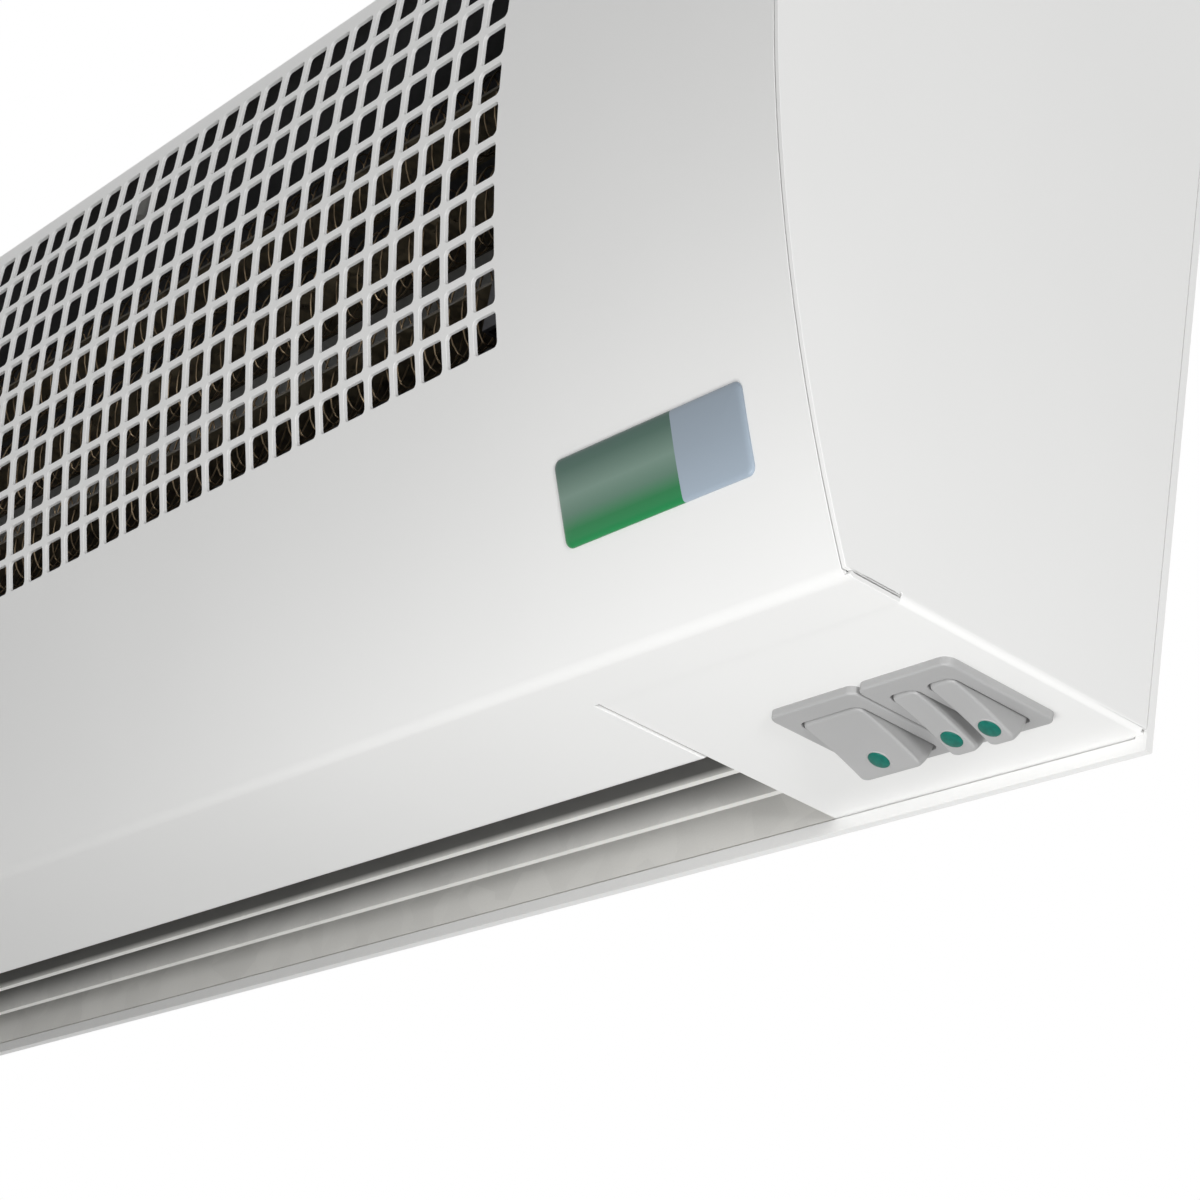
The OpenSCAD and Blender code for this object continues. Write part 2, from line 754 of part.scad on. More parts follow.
// Outline (y, z) of one forward-curved blade at the wheel's rim
module vane_outline() {
    vane_r = 9;
    rim = fan_r - 0.4;
    depth = 6.5;
    intersection() {
        translate([fan_r - depth / 2, -vane_r]) difference() {
            circle(r = vane_r);
            circle(r = vane_r - vane_t);
        }
        difference() {
            circle(r = rim);
            circle(r = rim - depth);
        }
        translate([0, -depth]) square([2 * fan_r, 2 * depth]);
    }
}

module fan_wheel() {
    section = (fan_x1 - fan_x0 - disc_t) / fan_sections;
    color(steel) hung() translate([0, -fan_y, fan_z]) difference() {
        union() {
            along_x(fan_x0 + disc_t / 2, fan_x1 - fan_x0 - disc_t)
                for (k = [0:fan_blades - 1]) rotate(360 / fan_blades * k) vane_outline();
            for (k = [0:fan_sections]) along_x(fan_x0 + k * section, disc_t) difference() {
                circle(r = fan_r);
                if (k > 0 && k < fan_sections) circle(r = fan_r - 9);
            }
            rod(fan_x0, fan_x0 + hub_l, hub_r, 0, 0);
            rod(fan_x1 - hub_l, fan_x1, hub_r, 0, 0);
        }
        rod(fan_x0 - past, fan_x0 + hub_l + past, stub_r + run, 0, 0);
        rod(fan_x1 - hub_l - past, fan_x1 + past, shaft_r + run, 0, 0);
        for (x = [fan_x0 + hub_l - 5, fan_x1 - hub_l + 5]) translate([x, 0, 0])
            cylinder(r = screw_r, h = hub_r + past);
    }
}

// Set screws that hold the hubs on their shafts
module hub_screws() {
    color(dark_steel) hung() translate([0, -fan_y, fan_z]) {
        translate([fan_x0 + hub_l - 5, 0, stub_r]) cylinder(r = screw_r - run, h = hub_r - stub_r);
        translate([fan_x1 - hub_l + 5, 0, shaft_r]) cylinder(r = screw_r - run, h = hub_r - shaft_r);
    }
}

module motor_shaft() {
    color(steel) hung() rod(fan_x1 - hub_l, motor_end + boss_l, shaft_r, -fan_y, fan_z);
}

module stub_shaft() {
    color(steel) hung() rod(fan_x0 - fan_gap - stub_out, fan_x0 + hub_l, stub_r, -fan_y, fan_z);
}

// Rubber bush in the left bulkhead that carries the fan's bearing
module bearing_bush() {
    bulk_x = duct_x0 - sheet;
    color(black) hung() difference() {
        union() {
            rod(bulk_x - 4, bulk_x, bush_r + 3, -fan_y, fan_z);
            rod(bulk_x, duct_x0, bush_r - run, -fan_y, fan_z);
            rod(duct_x0, duct_x0 + 2, bush_r + 2, -fan_y, fan_z);
        }
        rod(bulk_x - 4 - past, duct_x0 + 2 + past, bearing_r + run, -fan_y, fan_z);
    }
}

module fan_bearing() {
    color(brass) hung() difference() {
        rod(duct_x0 - sheet - 7, duct_x0 + 3, bearing_r, -fan_y, fan_z);
        rod(duct_x0 - sheet - 8, duct_x0 + 4, stub_r + run, -fan_y, fan_z);
    }
}

// ---- Motor ----

module motor_core() {
    core_window = core_w - 2 * side_limb;
    window_z = bore_r + pole_h;
    color(dark_steel) hung() translate([0, -fan_y, fan_z]) along_x(core_x, stack) difference() {
        translate([-core_w / 2, -core_down]) square([core_w, core_up + core_down]);
        circle(r = bore_r);
        translate([-core_window / 2, window_z])
            square([core_window, core_up - top_limb - window_z]);
        for (s = [-1, 1]) translate([s * motor_screw_y, 0]) circle(r = screw_r + run);
    }
}

// Winding round the core's top limb
module motor_coil() {
    w = core_w - 2 * (side_limb + coil_gap);
    low = bore_r + pole_h + coil_gap;
    coil_h = core_up + coil_over - low;
    color(copper) hung() translate([core_x, -fan_y, fan_z]) difference() {
        along_y(-w / 2, w) translate([stack / 2, low + coil_h / 2])
            round_rect(stack + 2 * coil_over, coil_h, 4);
        block([-fit, -w / 2 - past, core_up - top_limb - fit],
            [stack + fit, w / 2 + past, core_up + fit]);
    }
}

// Strap across the core with a boss for the bearing, which points along dir
module bearing_bridge(x, dir) {
    boss_x = dir > 0 ? x + bridge_t : x - boss_l + bridge_t;
    strap = 2 * motor_screw_y + 12;
    color(steel) hung() difference() {
        union() {
            translate([0, -fan_y, fan_z]) along_x(x, bridge_t) round_rect(strap, 2 * boss_r, 4);
            rod(boss_x, boss_x + boss_l - bridge_t * (dir > 0 ? 0 : 1) + fit, boss_r, -fan_y, fan_z);
        }
        rod(x - boss_l - past, x + bridge_t + boss_l + past, bearing_r + run, -fan_y, fan_z);
        for (s = [-1, 1])
            rod(x - past, x + bridge_t + past, screw_r + run, -fan_y + s * motor_screw_y, fan_z);
    }
}

module front_bearing_bridge() { bearing_bridge(bridge1_x, -1); }

module rear_bearing_bridge() { bearing_bridge(bridge2_x, 1); }

module motor_bearings() {
    color(brass) hung() for (x = [bridge1_x - boss_l + bridge_t + 1, bridge2_x + 1]) difference() {
        rod(x, x + boss_l - 2, bearing_r, -fan_y, fan_z);
        rod(x - past, x + boss_l, shaft_r + run, -fan_y, fan_z);
    }
}

module motor_rotor() {
    over = 3;
    color(dark_steel) hung() difference() {
        rod(core_x - over, core_x + stack + over, bore_r - air_gap, -fan_y, fan_z);
        rod(core_x - over - past, core_x + stack + over + past, shaft_r + run, -fan_y, fan_z);
    }
}

// Tubes on the motor screws, in front of and between the bridges and the core
module motor_spacers() {
    color(steel) hung() for (s = [-1, 1]) {
        y = -fan_y + s * motor_screw_y;
        for (part = [[bulk_x1, standoff], [core_x - bridge_gap, bridge_gap],
                [core_x + stack, bridge_gap]])
            difference() {
                rod(part[0], part[0] + part[1], 2 * screw_r, y, fan_z);
                rod(part[0] - past, part[0] + part[1] + past, screw_r + run, y, fan_z);
            }
    }
}

module motor_screws() {
    color(steel) hung() for (s = [-1, 1]) {
        y = -fan_y + s * motor_screw_y;
        rod(duct_x1 - nut_t - 1, motor_end, screw_r, y, fan_z);
        rod(motor_end, motor_end + 2.4, 1.8 * screw_r, y, fan_z);
    }
}

module motor_nuts() {
    color(steel) hung() for (s = [-1, 1]) difference() {
        translate([duct_x1 - nut_t, -fan_y + s * motor_screw_y, fan_z]) rotate([0, 90, 0])
            cylinder(r = 2 * screw_r, h = nut_t, $fn = 6);
        rod(duct_x1 - nut_t - past, duct_x1 + past, screw_r + run / 2,
            -fan_y + s * motor_screw_y, fan_z);
    }
}

// ---- Switches ----

// Bezel and body in one moulding, open to the outside; xs are the middles of its rockers
module switch_body(x, w, xs) {
    color(grey) hung() translate([x, -switch_y, 0]) difference() {
        union() {
            translate([0, 0, plate_up - bezel_t]) linear_extrude(bezel_t)
                round_rect(bezel_w, bezel_l, bezel_r);
            block([-body_w / 2, -body_l / 2, plate_up - past], [body_w / 2, body_l / 2,
                plate_up + switch_d]);
        }
        for (dx = xs) {
            translate([dx, pivot_in, 0]) block([-w / 2 - rock_clear, -rocker_r - rock_clear,
                plate_up - bezel_t - past], [w / 2 + rock_clear, rocker_r + rock_clear,
                pivot_z + rocker_top + 4]);
            rod(dx - w / 2 - trunnion_l - fit, dx + w / 2 + trunnion_l + fit,
                trunnion_r + run, pivot_in, pivot_z);
        }
    }
}

module single_switch_body() { switch_body(single_x, wide_w, [0]); }

module double_switch_body() { switch_body(double_x, slim_w, [-slim_dx, slim_dx]); }

// Rocker with its front end pressed in, and a seat for its lens
module rocker(x, w) {
    color(grey) hung() translate([x, -pivot_y, pivot_z]) rotate([-tilt, 0, 0]) difference() {
        union() {
            along_x(-w / 2, w) difference() {
                intersection() {
                    circle(r = rocker_r);
                    translate([-rocker_r, -2 * rocker_r]) square([2 * rocker_r,
                        2 * rocker_r + rocker_top]);
                }
                translate([0, hollow - edge_z - face_r]) circle(r = face_r);
            }
            rod(-w / 2 - trunnion_l, w / 2 + trunnion_l, trunnion_r, 0, 0);
        }
        lens_seat(0);
    }
}

// Cylinder square to the rocker's face near its raised end, drawn in by d
module lens_seat(d) {
    y = edge_y - lens_in;
    z = hollow - edge_z - face_r + sqrt(face_r * face_r - y * y);
    translate([0, y, z]) rotate([-asin(y / face_r), 0, 0]) translate([0, 0, -lens_out - past + d])
        cylinder(r = lens_r - d, h = 2 + past + lens_out - d);
}

module wide_rocker() { rocker(single_x, wide_w); }
module left_rocker() { rocker(double_x - slim_dx, slim_w); }
module right_rocker() { rocker(double_x + slim_dx, slim_w); }

// Lens seated in its rocker, a little proud of the face
module lens(x) {
    y = edge_y - lens_in;
    z = hollow - edge_z - face_r + sqrt(face_r * face_r - y * y);
    color(teal) hung() translate([x, -pivot_y, pivot_z]) rotate([-tilt, 0, 0])
        translate([0, y, z]) rotate([-asin(y / face_r), 0, 0]) translate([0, 0, -lens_out])
            cylinder(r = lens_r - run, h = 2 + lens_out);
}

module wide_lens() { lens(single_x); }
module left_lens() { lens(double_x - slim_dx); }
module right_lens() { lens(double_x + slim_dx); }

// Flat push-on tabs on the backs of the switch bodies
module switch_terminals() {
    z = plate_up + switch_d;
    color(brass) hung() for (x = [single_x, double_x], dx = [-5, 5], dy = [-9, 0, 9])
        block([x + dx - 0.4, -switch_y + dy - 3.1, z], [x + dx + 0.4, -switch_y + dy + 3.1, z + tab_l]);
}

// ---- Wiring ----

function way_x(k) = block_x + block_w / ways * (k + 0.5);

// Terminal block screwed to the wall plate
module terminal_block() {
    color("#D9D7CE") hung() difference() {
        block([block_x, -plate_t - block_d, block_z],
            [block_x + block_w, -plate_t, block_z + block_h]);
        for (k = [0:ways - 1]) translate([way_x(k), 0, block_z + block_h / 2]) {
            rotate([90, 0, 0]) translate([0, 0, plate_t + block_d - 7])
                cylinder(r = 2.4, h = 7 + past);
            translate([0, -plate_t - block_d / 2, -block_h]) cylinder(r = 1.6, h = 2 * block_h);
        }
    }
}

module terminal_screws() {
    color(brass) hung() for (k = [0:ways - 1])
        translate([way_x(k), -plate_t - block_d + 7, block_z + block_h / 2])
            rotate([90, 0, 0]) cylinder(r = 2.4 - run, h = 5);
}

// ---- Badge ----

// Blank domed plate that follows the front's curve
module badge() {
    from_top = arc_r * (bend_a - 180) * PI / 180 - badge_up;
    color(green) hung() intersection() {
        along_x(-x_end, 2 * x_end) translate([arc_y, arc_z]) difference() {
            circle(r = arc_r + badge_t);
            circle(r = arc_r + run);
        }
        on_front(from_top) rotate([90, 0, 0]) translate([x_end - badge_x, 0, -past])
            linear_extrude(4 * badge_t + past) round_rect(badge_w, badge_h, 2);
    }
}

back_plate();
front_cover();
top_panel();
right_end_panel();
left_end_panel();
right_bulkhead();
left_bulkhead();
rear_scroll();
front_tongue();
front_guide_blade();
rear_guide_blade();
right_heater_channel();
left_heater_channel();
lower_heater_board();
middle_heater_board();
upper_heater_board();
lower_heating_wire();
middle_heating_wire();
upper_heating_wire();
thermal_cutout();
fan_wheel();
motor_shaft();
stub_shaft();
hub_screws();
motor_rotor();
motor_core();
motor_coil();
front_bearing_bridge();
rear_bearing_bridge();
motor_bearings();
motor_spacers();
motor_screws();
motor_nuts();
bearing_bush();
fan_bearing();
single_switch_body();
double_switch_body();
wide_rocker();
left_rocker();
right_rocker();
wide_lens();
left_lens();
right_lens();
switch_terminals();
terminal_block();
terminal_screws();
earth_stud();
cable_grommet();
cover_screws();
badge();
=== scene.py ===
"""Looks of a wall-hung air curtain, laid out as a Blender add-on and run as a script.

Sizes and colours are properties of the scene, one operator makes each piece or group of like
pieces, and main() calls the operators in order. New pieces are surfaces worked out with numpy:
flat patterns bent into sheet metal, skins over rings, and tubes along formulas.
"""

import json
import math

import bpy
import numpy as np
from bpy.props import FloatProperty, FloatVectorProperty, IntProperty, PointerProperty
from mathutils import Matrix, Vector


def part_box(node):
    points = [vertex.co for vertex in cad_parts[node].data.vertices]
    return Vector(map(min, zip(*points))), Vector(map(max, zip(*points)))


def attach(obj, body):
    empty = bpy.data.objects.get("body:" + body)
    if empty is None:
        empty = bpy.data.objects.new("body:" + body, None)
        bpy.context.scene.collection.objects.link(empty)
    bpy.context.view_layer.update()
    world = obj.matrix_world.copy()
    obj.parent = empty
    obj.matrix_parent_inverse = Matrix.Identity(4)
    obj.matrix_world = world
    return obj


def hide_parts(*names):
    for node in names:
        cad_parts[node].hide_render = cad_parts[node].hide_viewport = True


bl_info = {
    "name": "Air Curtain",
    "version": (1, 0, 0),
    "blender": (4, 5, 0),
    "location": "View3D > Sidebar > Air Curtain",
    "description": "Builds the finishes and fine pieces of a wall-hung air curtain",
    "category": "Object",
}

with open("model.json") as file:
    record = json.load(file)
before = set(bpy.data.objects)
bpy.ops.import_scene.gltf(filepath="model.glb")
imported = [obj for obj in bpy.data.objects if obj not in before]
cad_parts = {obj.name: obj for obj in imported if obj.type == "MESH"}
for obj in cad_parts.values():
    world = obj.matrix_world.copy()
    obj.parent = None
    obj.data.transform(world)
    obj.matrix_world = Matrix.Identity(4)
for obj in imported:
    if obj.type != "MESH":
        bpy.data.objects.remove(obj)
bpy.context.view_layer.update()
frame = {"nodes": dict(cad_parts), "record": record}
COVER_LO, COVER_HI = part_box("front_cover")
X_AXIS, Y_AXIS = np.eye(3)[:2]
MM = 0.001


# ---- Sizes and colours ----


def linear(code):
    """sRGB hex code as linear RGB, by the sRGB curve."""
    c = np.array([int(code[k : k + 2], 16) for k in (1, 3, 5)]) / 255
    return tuple(np.where(c <= 0.04045, c / 12.92, ((c + 0.055) / 1.055) ** 2.4))


def length(name, default, description):
    """A length in metres."""
    return FloatProperty(name=name, description=description, default=default, unit="LENGTH")


def colour(name, code, description):
    """A colour, given as an sRGB hex code."""
    return FloatVectorProperty(
        name=name, description=description, default=linear(code), subtype="COLOR", size=3
    )


class CoverSizes(bpy.types.PropertyGroup):
    """Sheet of the bowed front cover."""

    sheet: length("Sheet", 0.001, "Thickness of the painted sheet")
    edge: length("Edge rounding", 0.00022, "Radius that paint gives a cut edge")
    under_depth: length("Underside depth", 0.085, "From the wall to the sharp crease")
    crease_r: length("Crease radius", 0.0035, "Outer radius of the fold under the front")
    top_r: length("Top radius", 0.003, "Outer radius of the fold on top")
    top_flange: length("Top flange", 0.016, "Depth of the flange on top")
    lip_r: length("Lip radius", 0.002, "Outer radius at the outlet's front edge")
    lip_h: length("Lip height", 0.009, "Height of the return at the outlet")
    strip_y: length("Strip depth", 0.0716, "From the wall to the narrow strip's edge")
    half_l: length("Half length", 0.4036, "From the middle to the front's ends")
    notch_right: length("Right notch", 0.3131, "Where the outlet's flange ends at the right")
    notch_left: length("Left notch", 0.3686, "Where the outlet's flange ends at the left")


class EndSizes(bpy.types.PropertyGroup):
    """Sheets of the end panels."""

    right_l: length("Right plate", 0.0915, "Length of the plate that carries the switches")
    left_l: length("Left plate", 0.036, "Length of the plate at the left")
    plate_up: length("Plate height", 0.0006, "From the flange's underside up to the plate's")
    bend_r: length("Bend radius", 0.0016, "Outer radius between plate and side")
    seam: length("Seam", 0.0004, "Gap between side and flange, and between plate and flange")
    rear_y: length("Rear edge", 0.00206, "From the wall to the side's rear edge")
    plate_in: length("Plate edge", 0.0013, "From the wall to the plate's rear edge, over the hem")
    hem_w: length("Side hem", 0.0019, "From the bend to where the plate covers the hem")
    relief: length("Relief", 0.0009, "Size of the notch at the bend's rear corner")
    cut_w: length("Cut-out width", 0.0233, "Opening for a switch, along the length")
    cut_l: length("Cut-out depth", 0.0296, "Opening for a switch, across the plate")
    flange_w: length("Flange width", 0.0141, "Rear flange that stands against the wall plate")
    flange_z: length("Flange height", 0.024, "From the underside up to the rear flange")
    flange_gap: length("Flange gap", 0.0023, "From the wall to the rear flange")


class GrilleSizes(bpy.types.PropertyGroup):
    """Square perforation of the front."""

    pitch: length("Pitch", 0.010, "Distance between neighbouring holes")
    hole: length("Hole", 0.0081, "Width of a hole")
    corner: length("Hole corner", 0.0012, "Corner radius of a hole")
    first_row: length("First row", 0.0075, "From the widest line down to the top row")
    first_x: length("First column", 0.30875, "Middle of the column at the right end")
    rows: IntProperty(name="Rows", description="Rows of holes", default=11, min=1)
    columns: IntProperty(name="Columns", description="Columns of holes", default=68, min=1)


class WireSizes(bpy.types.PropertyGroup):
    """Heating wire wound through its boards."""

    radius: length("Wire radius", 0.00024, "Radius of the heating wire")
    pitch: length("Turn pitch", 0.0052, "Distance between neighbouring turns")
    half_height: length("Half height", 0.0117, "Height of a turn above its board")
    half_depth: length("Half depth", 0.0046, "Half of a turn's depth from front to back")
    middle_y: length("Middle", -0.1032, "Y of the turns' middle line")
    lean: length("Lean", 0.0011, "Most that a turn leans along the board")
    waver: FloatProperty(name="Waver", description="Share by which depths differ", default=0.12)


class SwitchSizes(bpy.types.PropertyGroup):
    """Rocker switches under the right end."""

    single_x: length("Single switch", 0.35675, "X of the single switch's middle")
    double_x: length("Double switch", 0.38315, "X of the double switch's middle")
    middle_y: length("Switch middle", -0.034, "Y of the switches' middle")
    pivot_y: length("Pivot depth", -0.0328, "Y of the rockers' pivot")
    pivot_z: length("Pivot", COVER_LO.z + 0.0014, "Z of the rockers' pivot")
    plate_z: length("Plate", COVER_LO.z + 0.0006, "Z of the plate that the bezels stand on")
    bezel_w: length("Bezel width", 0.026, "Width of a bezel")
    bezel_l: length("Bezel length", 0.0316, "Length of a bezel")
    bezel_t: length("Bezel thickness", 0.0019, "Thickness of a bezel")
    bezel_r: length("Bezel corner", 0.0024, "Corner radius of a bezel")
    bezel_edge: length("Bezel edge", 0.0006, "Radius of a bezel's edge")
    window_edge: length("Window edge", 0.00025, "Bevel round a bezel's window")
    body_w: length("Body width", 0.0231, "Width of the body behind a bezel")
    body_l: length("Body length", 0.0294, "Length of the body behind a bezel")
    body_r: length("Body corner", 0.0008, "Corner radius of the body")
    body_h: length("Body height", 0.023, "Height of the body over the plate")
    well_h: length("Well", 0.009, "From the pivot up to the well's end behind the rockers")
    web_edge: length("Web edge", 0.0003, "Bevel of the web between two rockers")
    web_low: length("Web step", 0.00004, "From the bezel's face up to the web's")
    wide_w: length("Wide rocker", 0.0174, "Width of the single rocker")
    slim_w: length("Slim rocker", 0.0069, "Width of one of the double switch's rockers")
    slim_dx: length("Slim spacing", 0.00525, "From the double switch's middle to a rocker's")
    rocker_r: length("Rocker radius", 0.0114, "Radius of a rocker's ends about its pivot")
    hollow: length("Hollow", 0.0004, "Depth of the hollow in a rocker's face")
    back_z: length("Rocker back", 0.005, "From the pivot up to a rocker's back")
    round_off: length("Rounding", 0.0006, "Radius of a rocker's edges")
    corner: length("Rocker corner", 0.0017, "Radius of a rocker's corners seen from below")
    clear: length("Clearance", 0.0004, "Gap round a rocker")
    lens_r: length("Lens radius", 0.00245, "Radius of a signal lens")
    lens_in: length("Lens place", 0.0046, "From a rocker's raised edge to its lens")
    lens_t: length("Lens dome", 0.00042, "Height of a lens over the rocker's face")
    lens_sunk: length("Lens root", 0.0005, "Depth of a lens in the rocker")
    tilt: FloatProperty(
        name="Tilt", description="Tilt of the rockers", default=math.radians(15.6), unit="ROTATION"
    )
    edge_a: FloatProperty(
        name="Edge angle",
        description="Angle of a rocker's edges below its pivot",
        default=math.radians(30),
        unit="ROTATION",
    )


class BadgeSizes(bpy.types.PropertyGroup):
    """Blank domed badge on the front."""

    width: length("Width", 0.0584, "Width of the badge")
    height: length("Height", 0.019, "Height of the badge")
    middle_x: length("Middle", 0.3577, "X of the badge's middle")
    above_crease: length("Above the crease", 0.0319, "Arc length up to the badge's middle")
    thick: length("Thickness", 0.001, "Thickness of the resin dome")
    corner: length("Corner", 0.002, "Corner radius of the badge")
    divider: length("Divider", 0.0084, "From the middle to the line between its two fields")
    steep: length("Steep edge", 0.0013, "Width of the dome's steep edge")


class Colours(bpy.types.PropertyGroup):
    """Colours of the finishes."""

    enamel: colour("Powder coat", "#EFEFEE", "White powder coat")
    zinc: colour("Zinc", "#EBEAE6", "Galvanised sheet of the duct")
    # Painted shade: dark grey put on the casing's inner sides, where only shade falls
    inner_shade_grey: colour("Primer", "#38383A", "Thin coat on the casing's inner side")
    channel: colour("Dark steel", "#3B3B3F", "Heat-stained steel")
    mica: colour("Mica", "#8E8064", "Boards of pressed mica")
    wire: colour("Heating wire", "#8C7B64", "Oxidised nickel chromium")
    grey: colour("Switch grey", "#A5A5A5", "Moulded ABS of the switches")
    teal: colour("Lens", "#036659", "Clear tinted lenses")
    field_a: colour("Green field", "#00743C", "Left field of the badge")
    field_b: colour("Silver field", "#94A1AE", "Right field of the badge")
    floor: colour("Floor", "#F4F4F3", "Plain pale floor")


class StageSizes(bpy.types.PropertyGroup):
    """Camera and surroundings."""

    lens: FloatProperty(name="Lens", description="Focal length in millimetres", default=89.1)
    sensor: FloatProperty(name="Sensor", description="Sensor width in millimetres", default=36.0)
    camera: FloatVectorProperty(
        name="Camera",
        description="Place of the camera",
        default=(0.7851, -0.4036, -0.3345),
        unit="LENGTH",
    )
    floor_z: length("Floor", -1.7, "Height of the floor")
    floor_r: length("Floor radius", 9.0, "Radius of the round floor")
    lamp_size: length("Lamp size", 0.35, "Side of a square soft box")
    floor_glow: FloatProperty(
        name="Floor glow", description="Lift of the floor as background only", default=0.36
    )
    ambient: FloatProperty(name="Ambient", description="Strength of the studio", default=0.375)


# ---- Nodes and materials ----


def fill(tree, node, inputs):
    """Sets a node's sockets, each from a value or from another node's output."""
    for key, value in inputs.items():
        if isinstance(value, bpy.types.NodeSocket):
            tree.links.new(value, node.inputs[key])
        else:
            node.inputs[key].default_value = value


def add(tree, kind, inputs=None, stops=(), **settings):
    """Adds a node and returns it.

    inputs maps sockets to values or outputs, stops are a ramp's (position, linear RGB) pairs,
    and settings are the node's own values.
    """
    made = tree.nodes.new("ShaderNode" + kind)
    for key, value in settings.items():
        setattr(made, key, value)
    if stops:
        band = made.color_ramp.elements
        while len(band) < len(stops):
            band.new(0.5)
        for element, (position, rgb) in zip(band, stops):
            element.position = position
            element.color = (*rgb, 1.0)
    fill(tree, made, inputs or {})
    return made


def new_material(name, values):
    """Material with a Principled shader, its tree, its shader, and object coordinates."""
    made = bpy.data.materials.new(name)
    made.use_nodes = True
    tree = made.node_tree
    tree.nodes.clear()
    shader = add(tree, "BsdfPrincipled", values)
    add(tree, "OutputMaterial", {"Surface": shader.outputs[0]})
    return made, tree, shader, add(tree, "TexCoord").outputs["Object"]


def shade(rgb, factor):
    """Colour scaled in brightness."""
    return tuple(min(1.0, c * factor) for c in rgb)


def tints(rgb, low, high, ends=(0.3, 0.7)):
    """Ramp stops from a darker to a lighter tint of a colour."""
    return [(ends[0], shade(rgb, low)), (ends[1], shade(rgb, high))]


def textured(tree, shader, cloud, stops, marks, rough, depth, strength=0.3):
    """Wires a surface: colour runs through the stops by cloud; marks give gloss and relief.

    Roughness goes from rough[0] to rough[1], and the bumps are depth metres high.
    """
    spread = {"Value": marks, "To Min": rough[0], "To Max": rough[1]}
    relief = {"Height": marks, "Distance": depth, "Strength": strength}
    surface = {
        "Base Color": add(tree, "ValToRGB", {"Fac": cloud}, stops).outputs[0],
        "Roughness": add(tree, "MapRange", spread).outputs[0],
        "Normal": add(tree, "Bump", relief).outputs[0],
    }
    fill(tree, shader, surface)


def powder_coat(colours):
    """Polyester powder coat on steel: satin, with a fine orange peel about 1.5 mm across."""
    made, tree, shader, place = new_material("powder_coated_steel", {"IOR": 1.5})
    fine = {"Vector": place, "Scale": 1 / (1.5 * MM), "Detail": 1.0}
    peel = add(tree, "TexNoise", fine).outputs[0]
    cloud = add(tree, "TexNoise", {"Vector": place, "Scale": 1 / (90 * MM)}).outputs[0]
    stops = tints(colours.enamel, 0.985, 1.01)
    textured(tree, shader, cloud, stops, peel, (0.3, 0.38), 0.03 * MM, 0.25)
    return made


def galvanised(colours, name, unshaded_to, dark_from, dark):
    """Hot-dip zinc on steel sheet, dulled by air: grey, with faint crystals about 9 mm across.

    Painted shade darkens it by the factor dark inside the duct, more and more from
    unshaded_to up to dark_from, which are heights above the casing's underside.
    """
    made, tree, shader, place = new_material(name, {"Metallic": 0.15})
    cells = add(tree, "TexVoronoi", {"Vector": place, "Scale": 1 / (9 * MM)}).outputs["Color"]
    grain = add(tree, "SeparateColor", {0: cells}).outputs[0]
    fine = add(tree, "TexNoise", {"Vector": place, "Scale": 1 / (0.6 * MM)}).outputs[0]
    both = add(tree, "Mix", {0: 0.5, 2: grain, 3: fine}).outputs[0]
    tint = add(tree, "ValToRGB", {"Fac": both}, tints(colours.zinc, 0.95, 1.04, (0.1, 0.9)))
    # Painted shade: the colour darkens with height above the underside, deeper into the duct where
    # shade falls
    painted_shade = {
        "Value": add(tree, "SeparateXYZ", {0: place}).outputs[2],
        "From Min": COVER_LO.z + unshaded_to,
        "From Max": COVER_LO.z + dark_from,
        "To Min": 1.0,
        "To Max": dark,
    }
    layers = {0: 1.0, 6: tint.outputs[0], 7: add(tree, "MapRange", painted_shade).outputs[0]}
    shaded_tint = add(tree, "Mix", layers, data_type="RGBA", blend_type="MULTIPLY").outputs[2]
    spread = {"Value": grain, "To Min": 0.5, "To Max": 0.6}
    relief = {"Height": fine, "Distance": 0.02 * MM, "Strength": 0.3}
    surface = {
        "Base Color": shaded_tint,
        "Roughness": add(tree, "MapRange", spread).outputs[0],
        "Normal": add(tree, "Bump", relief).outputs[0],
    }
    fill(tree, shader, surface)
    return made


def inner_primer(colours):
    """Painted shade on the inner side of the casing's sheets: a dark grey, with clouds that vary
    its tone.
    """
    made, tree, shader, place = new_material("inner_primer", {"Roughness": 0.7})
    spray = {"Vector": place, "Scale": 1 / (30 * MM), "Detail": 3.0}
    cloud = add(tree, "TexNoise", spray).outputs[0]
    tint = add(tree, "ValToRGB", {"Fac": cloud}, tints(colours.inner_shade_grey, 0.8, 1.2))
    fill(tree, shader, {"Base Color": tint.outputs[0]})
    return made


def coat_and_painted_shade(colours):
    """White powder coat on faces that point up and painted shade on the others, for the sheet that
    closes the top.
    """
    made, tree, shader, place = new_material("lined_top", {"Roughness": 0.4})
    normal = add(tree, "NewGeometry").outputs["Normal"]
    up = add(tree, "SeparateXYZ", {0: normal}).outputs[2]
    # Painted shade: faces that do not point up take the dark grey
    side = add(tree, "Math", {0: up, 1: 0.5}, operation="GREATER_THAN").outputs[0]
    cloud = add(tree, "TexNoise", {"Vector": place, "Scale": 1 / (90 * MM)}).outputs[0]
    white = add(tree, "ValToRGB", {"Fac": cloud}, tints(colours.enamel, 0.985, 1.01))
    layers = {0: side, 6: (*colours.inner_shade_grey, 1.0), 7: white.outputs[0]}
    both = add(tree, "Mix", layers, data_type="RGBA").outputs[2]
    fill(tree, shader, {"Base Color": both})
    return made


def stained_steel(colours):
    """Uncoated steel darkened by heat: brown-black scale with 4 mm streaks along the sheet."""
    made, tree, shader, place = new_material("heat_stained_steel", {"Metallic": 0.6})
    long = add(tree, "Mapping", {"Vector": place, "Scale": (0.15, 1.0, 1.0)}).outputs[0]
    scale = {"Vector": long, "Scale": 1 / (4 * MM), "Detail": 4.0}
    streak = add(tree, "TexNoise", scale).outputs[0]
    stops = tints(colours.channel, 0.6, 1.25, (0.3, 0.75))
    textured(tree, shader, streak, stops, streak, (0.38, 0.6), 0.03 * MM)
    return made


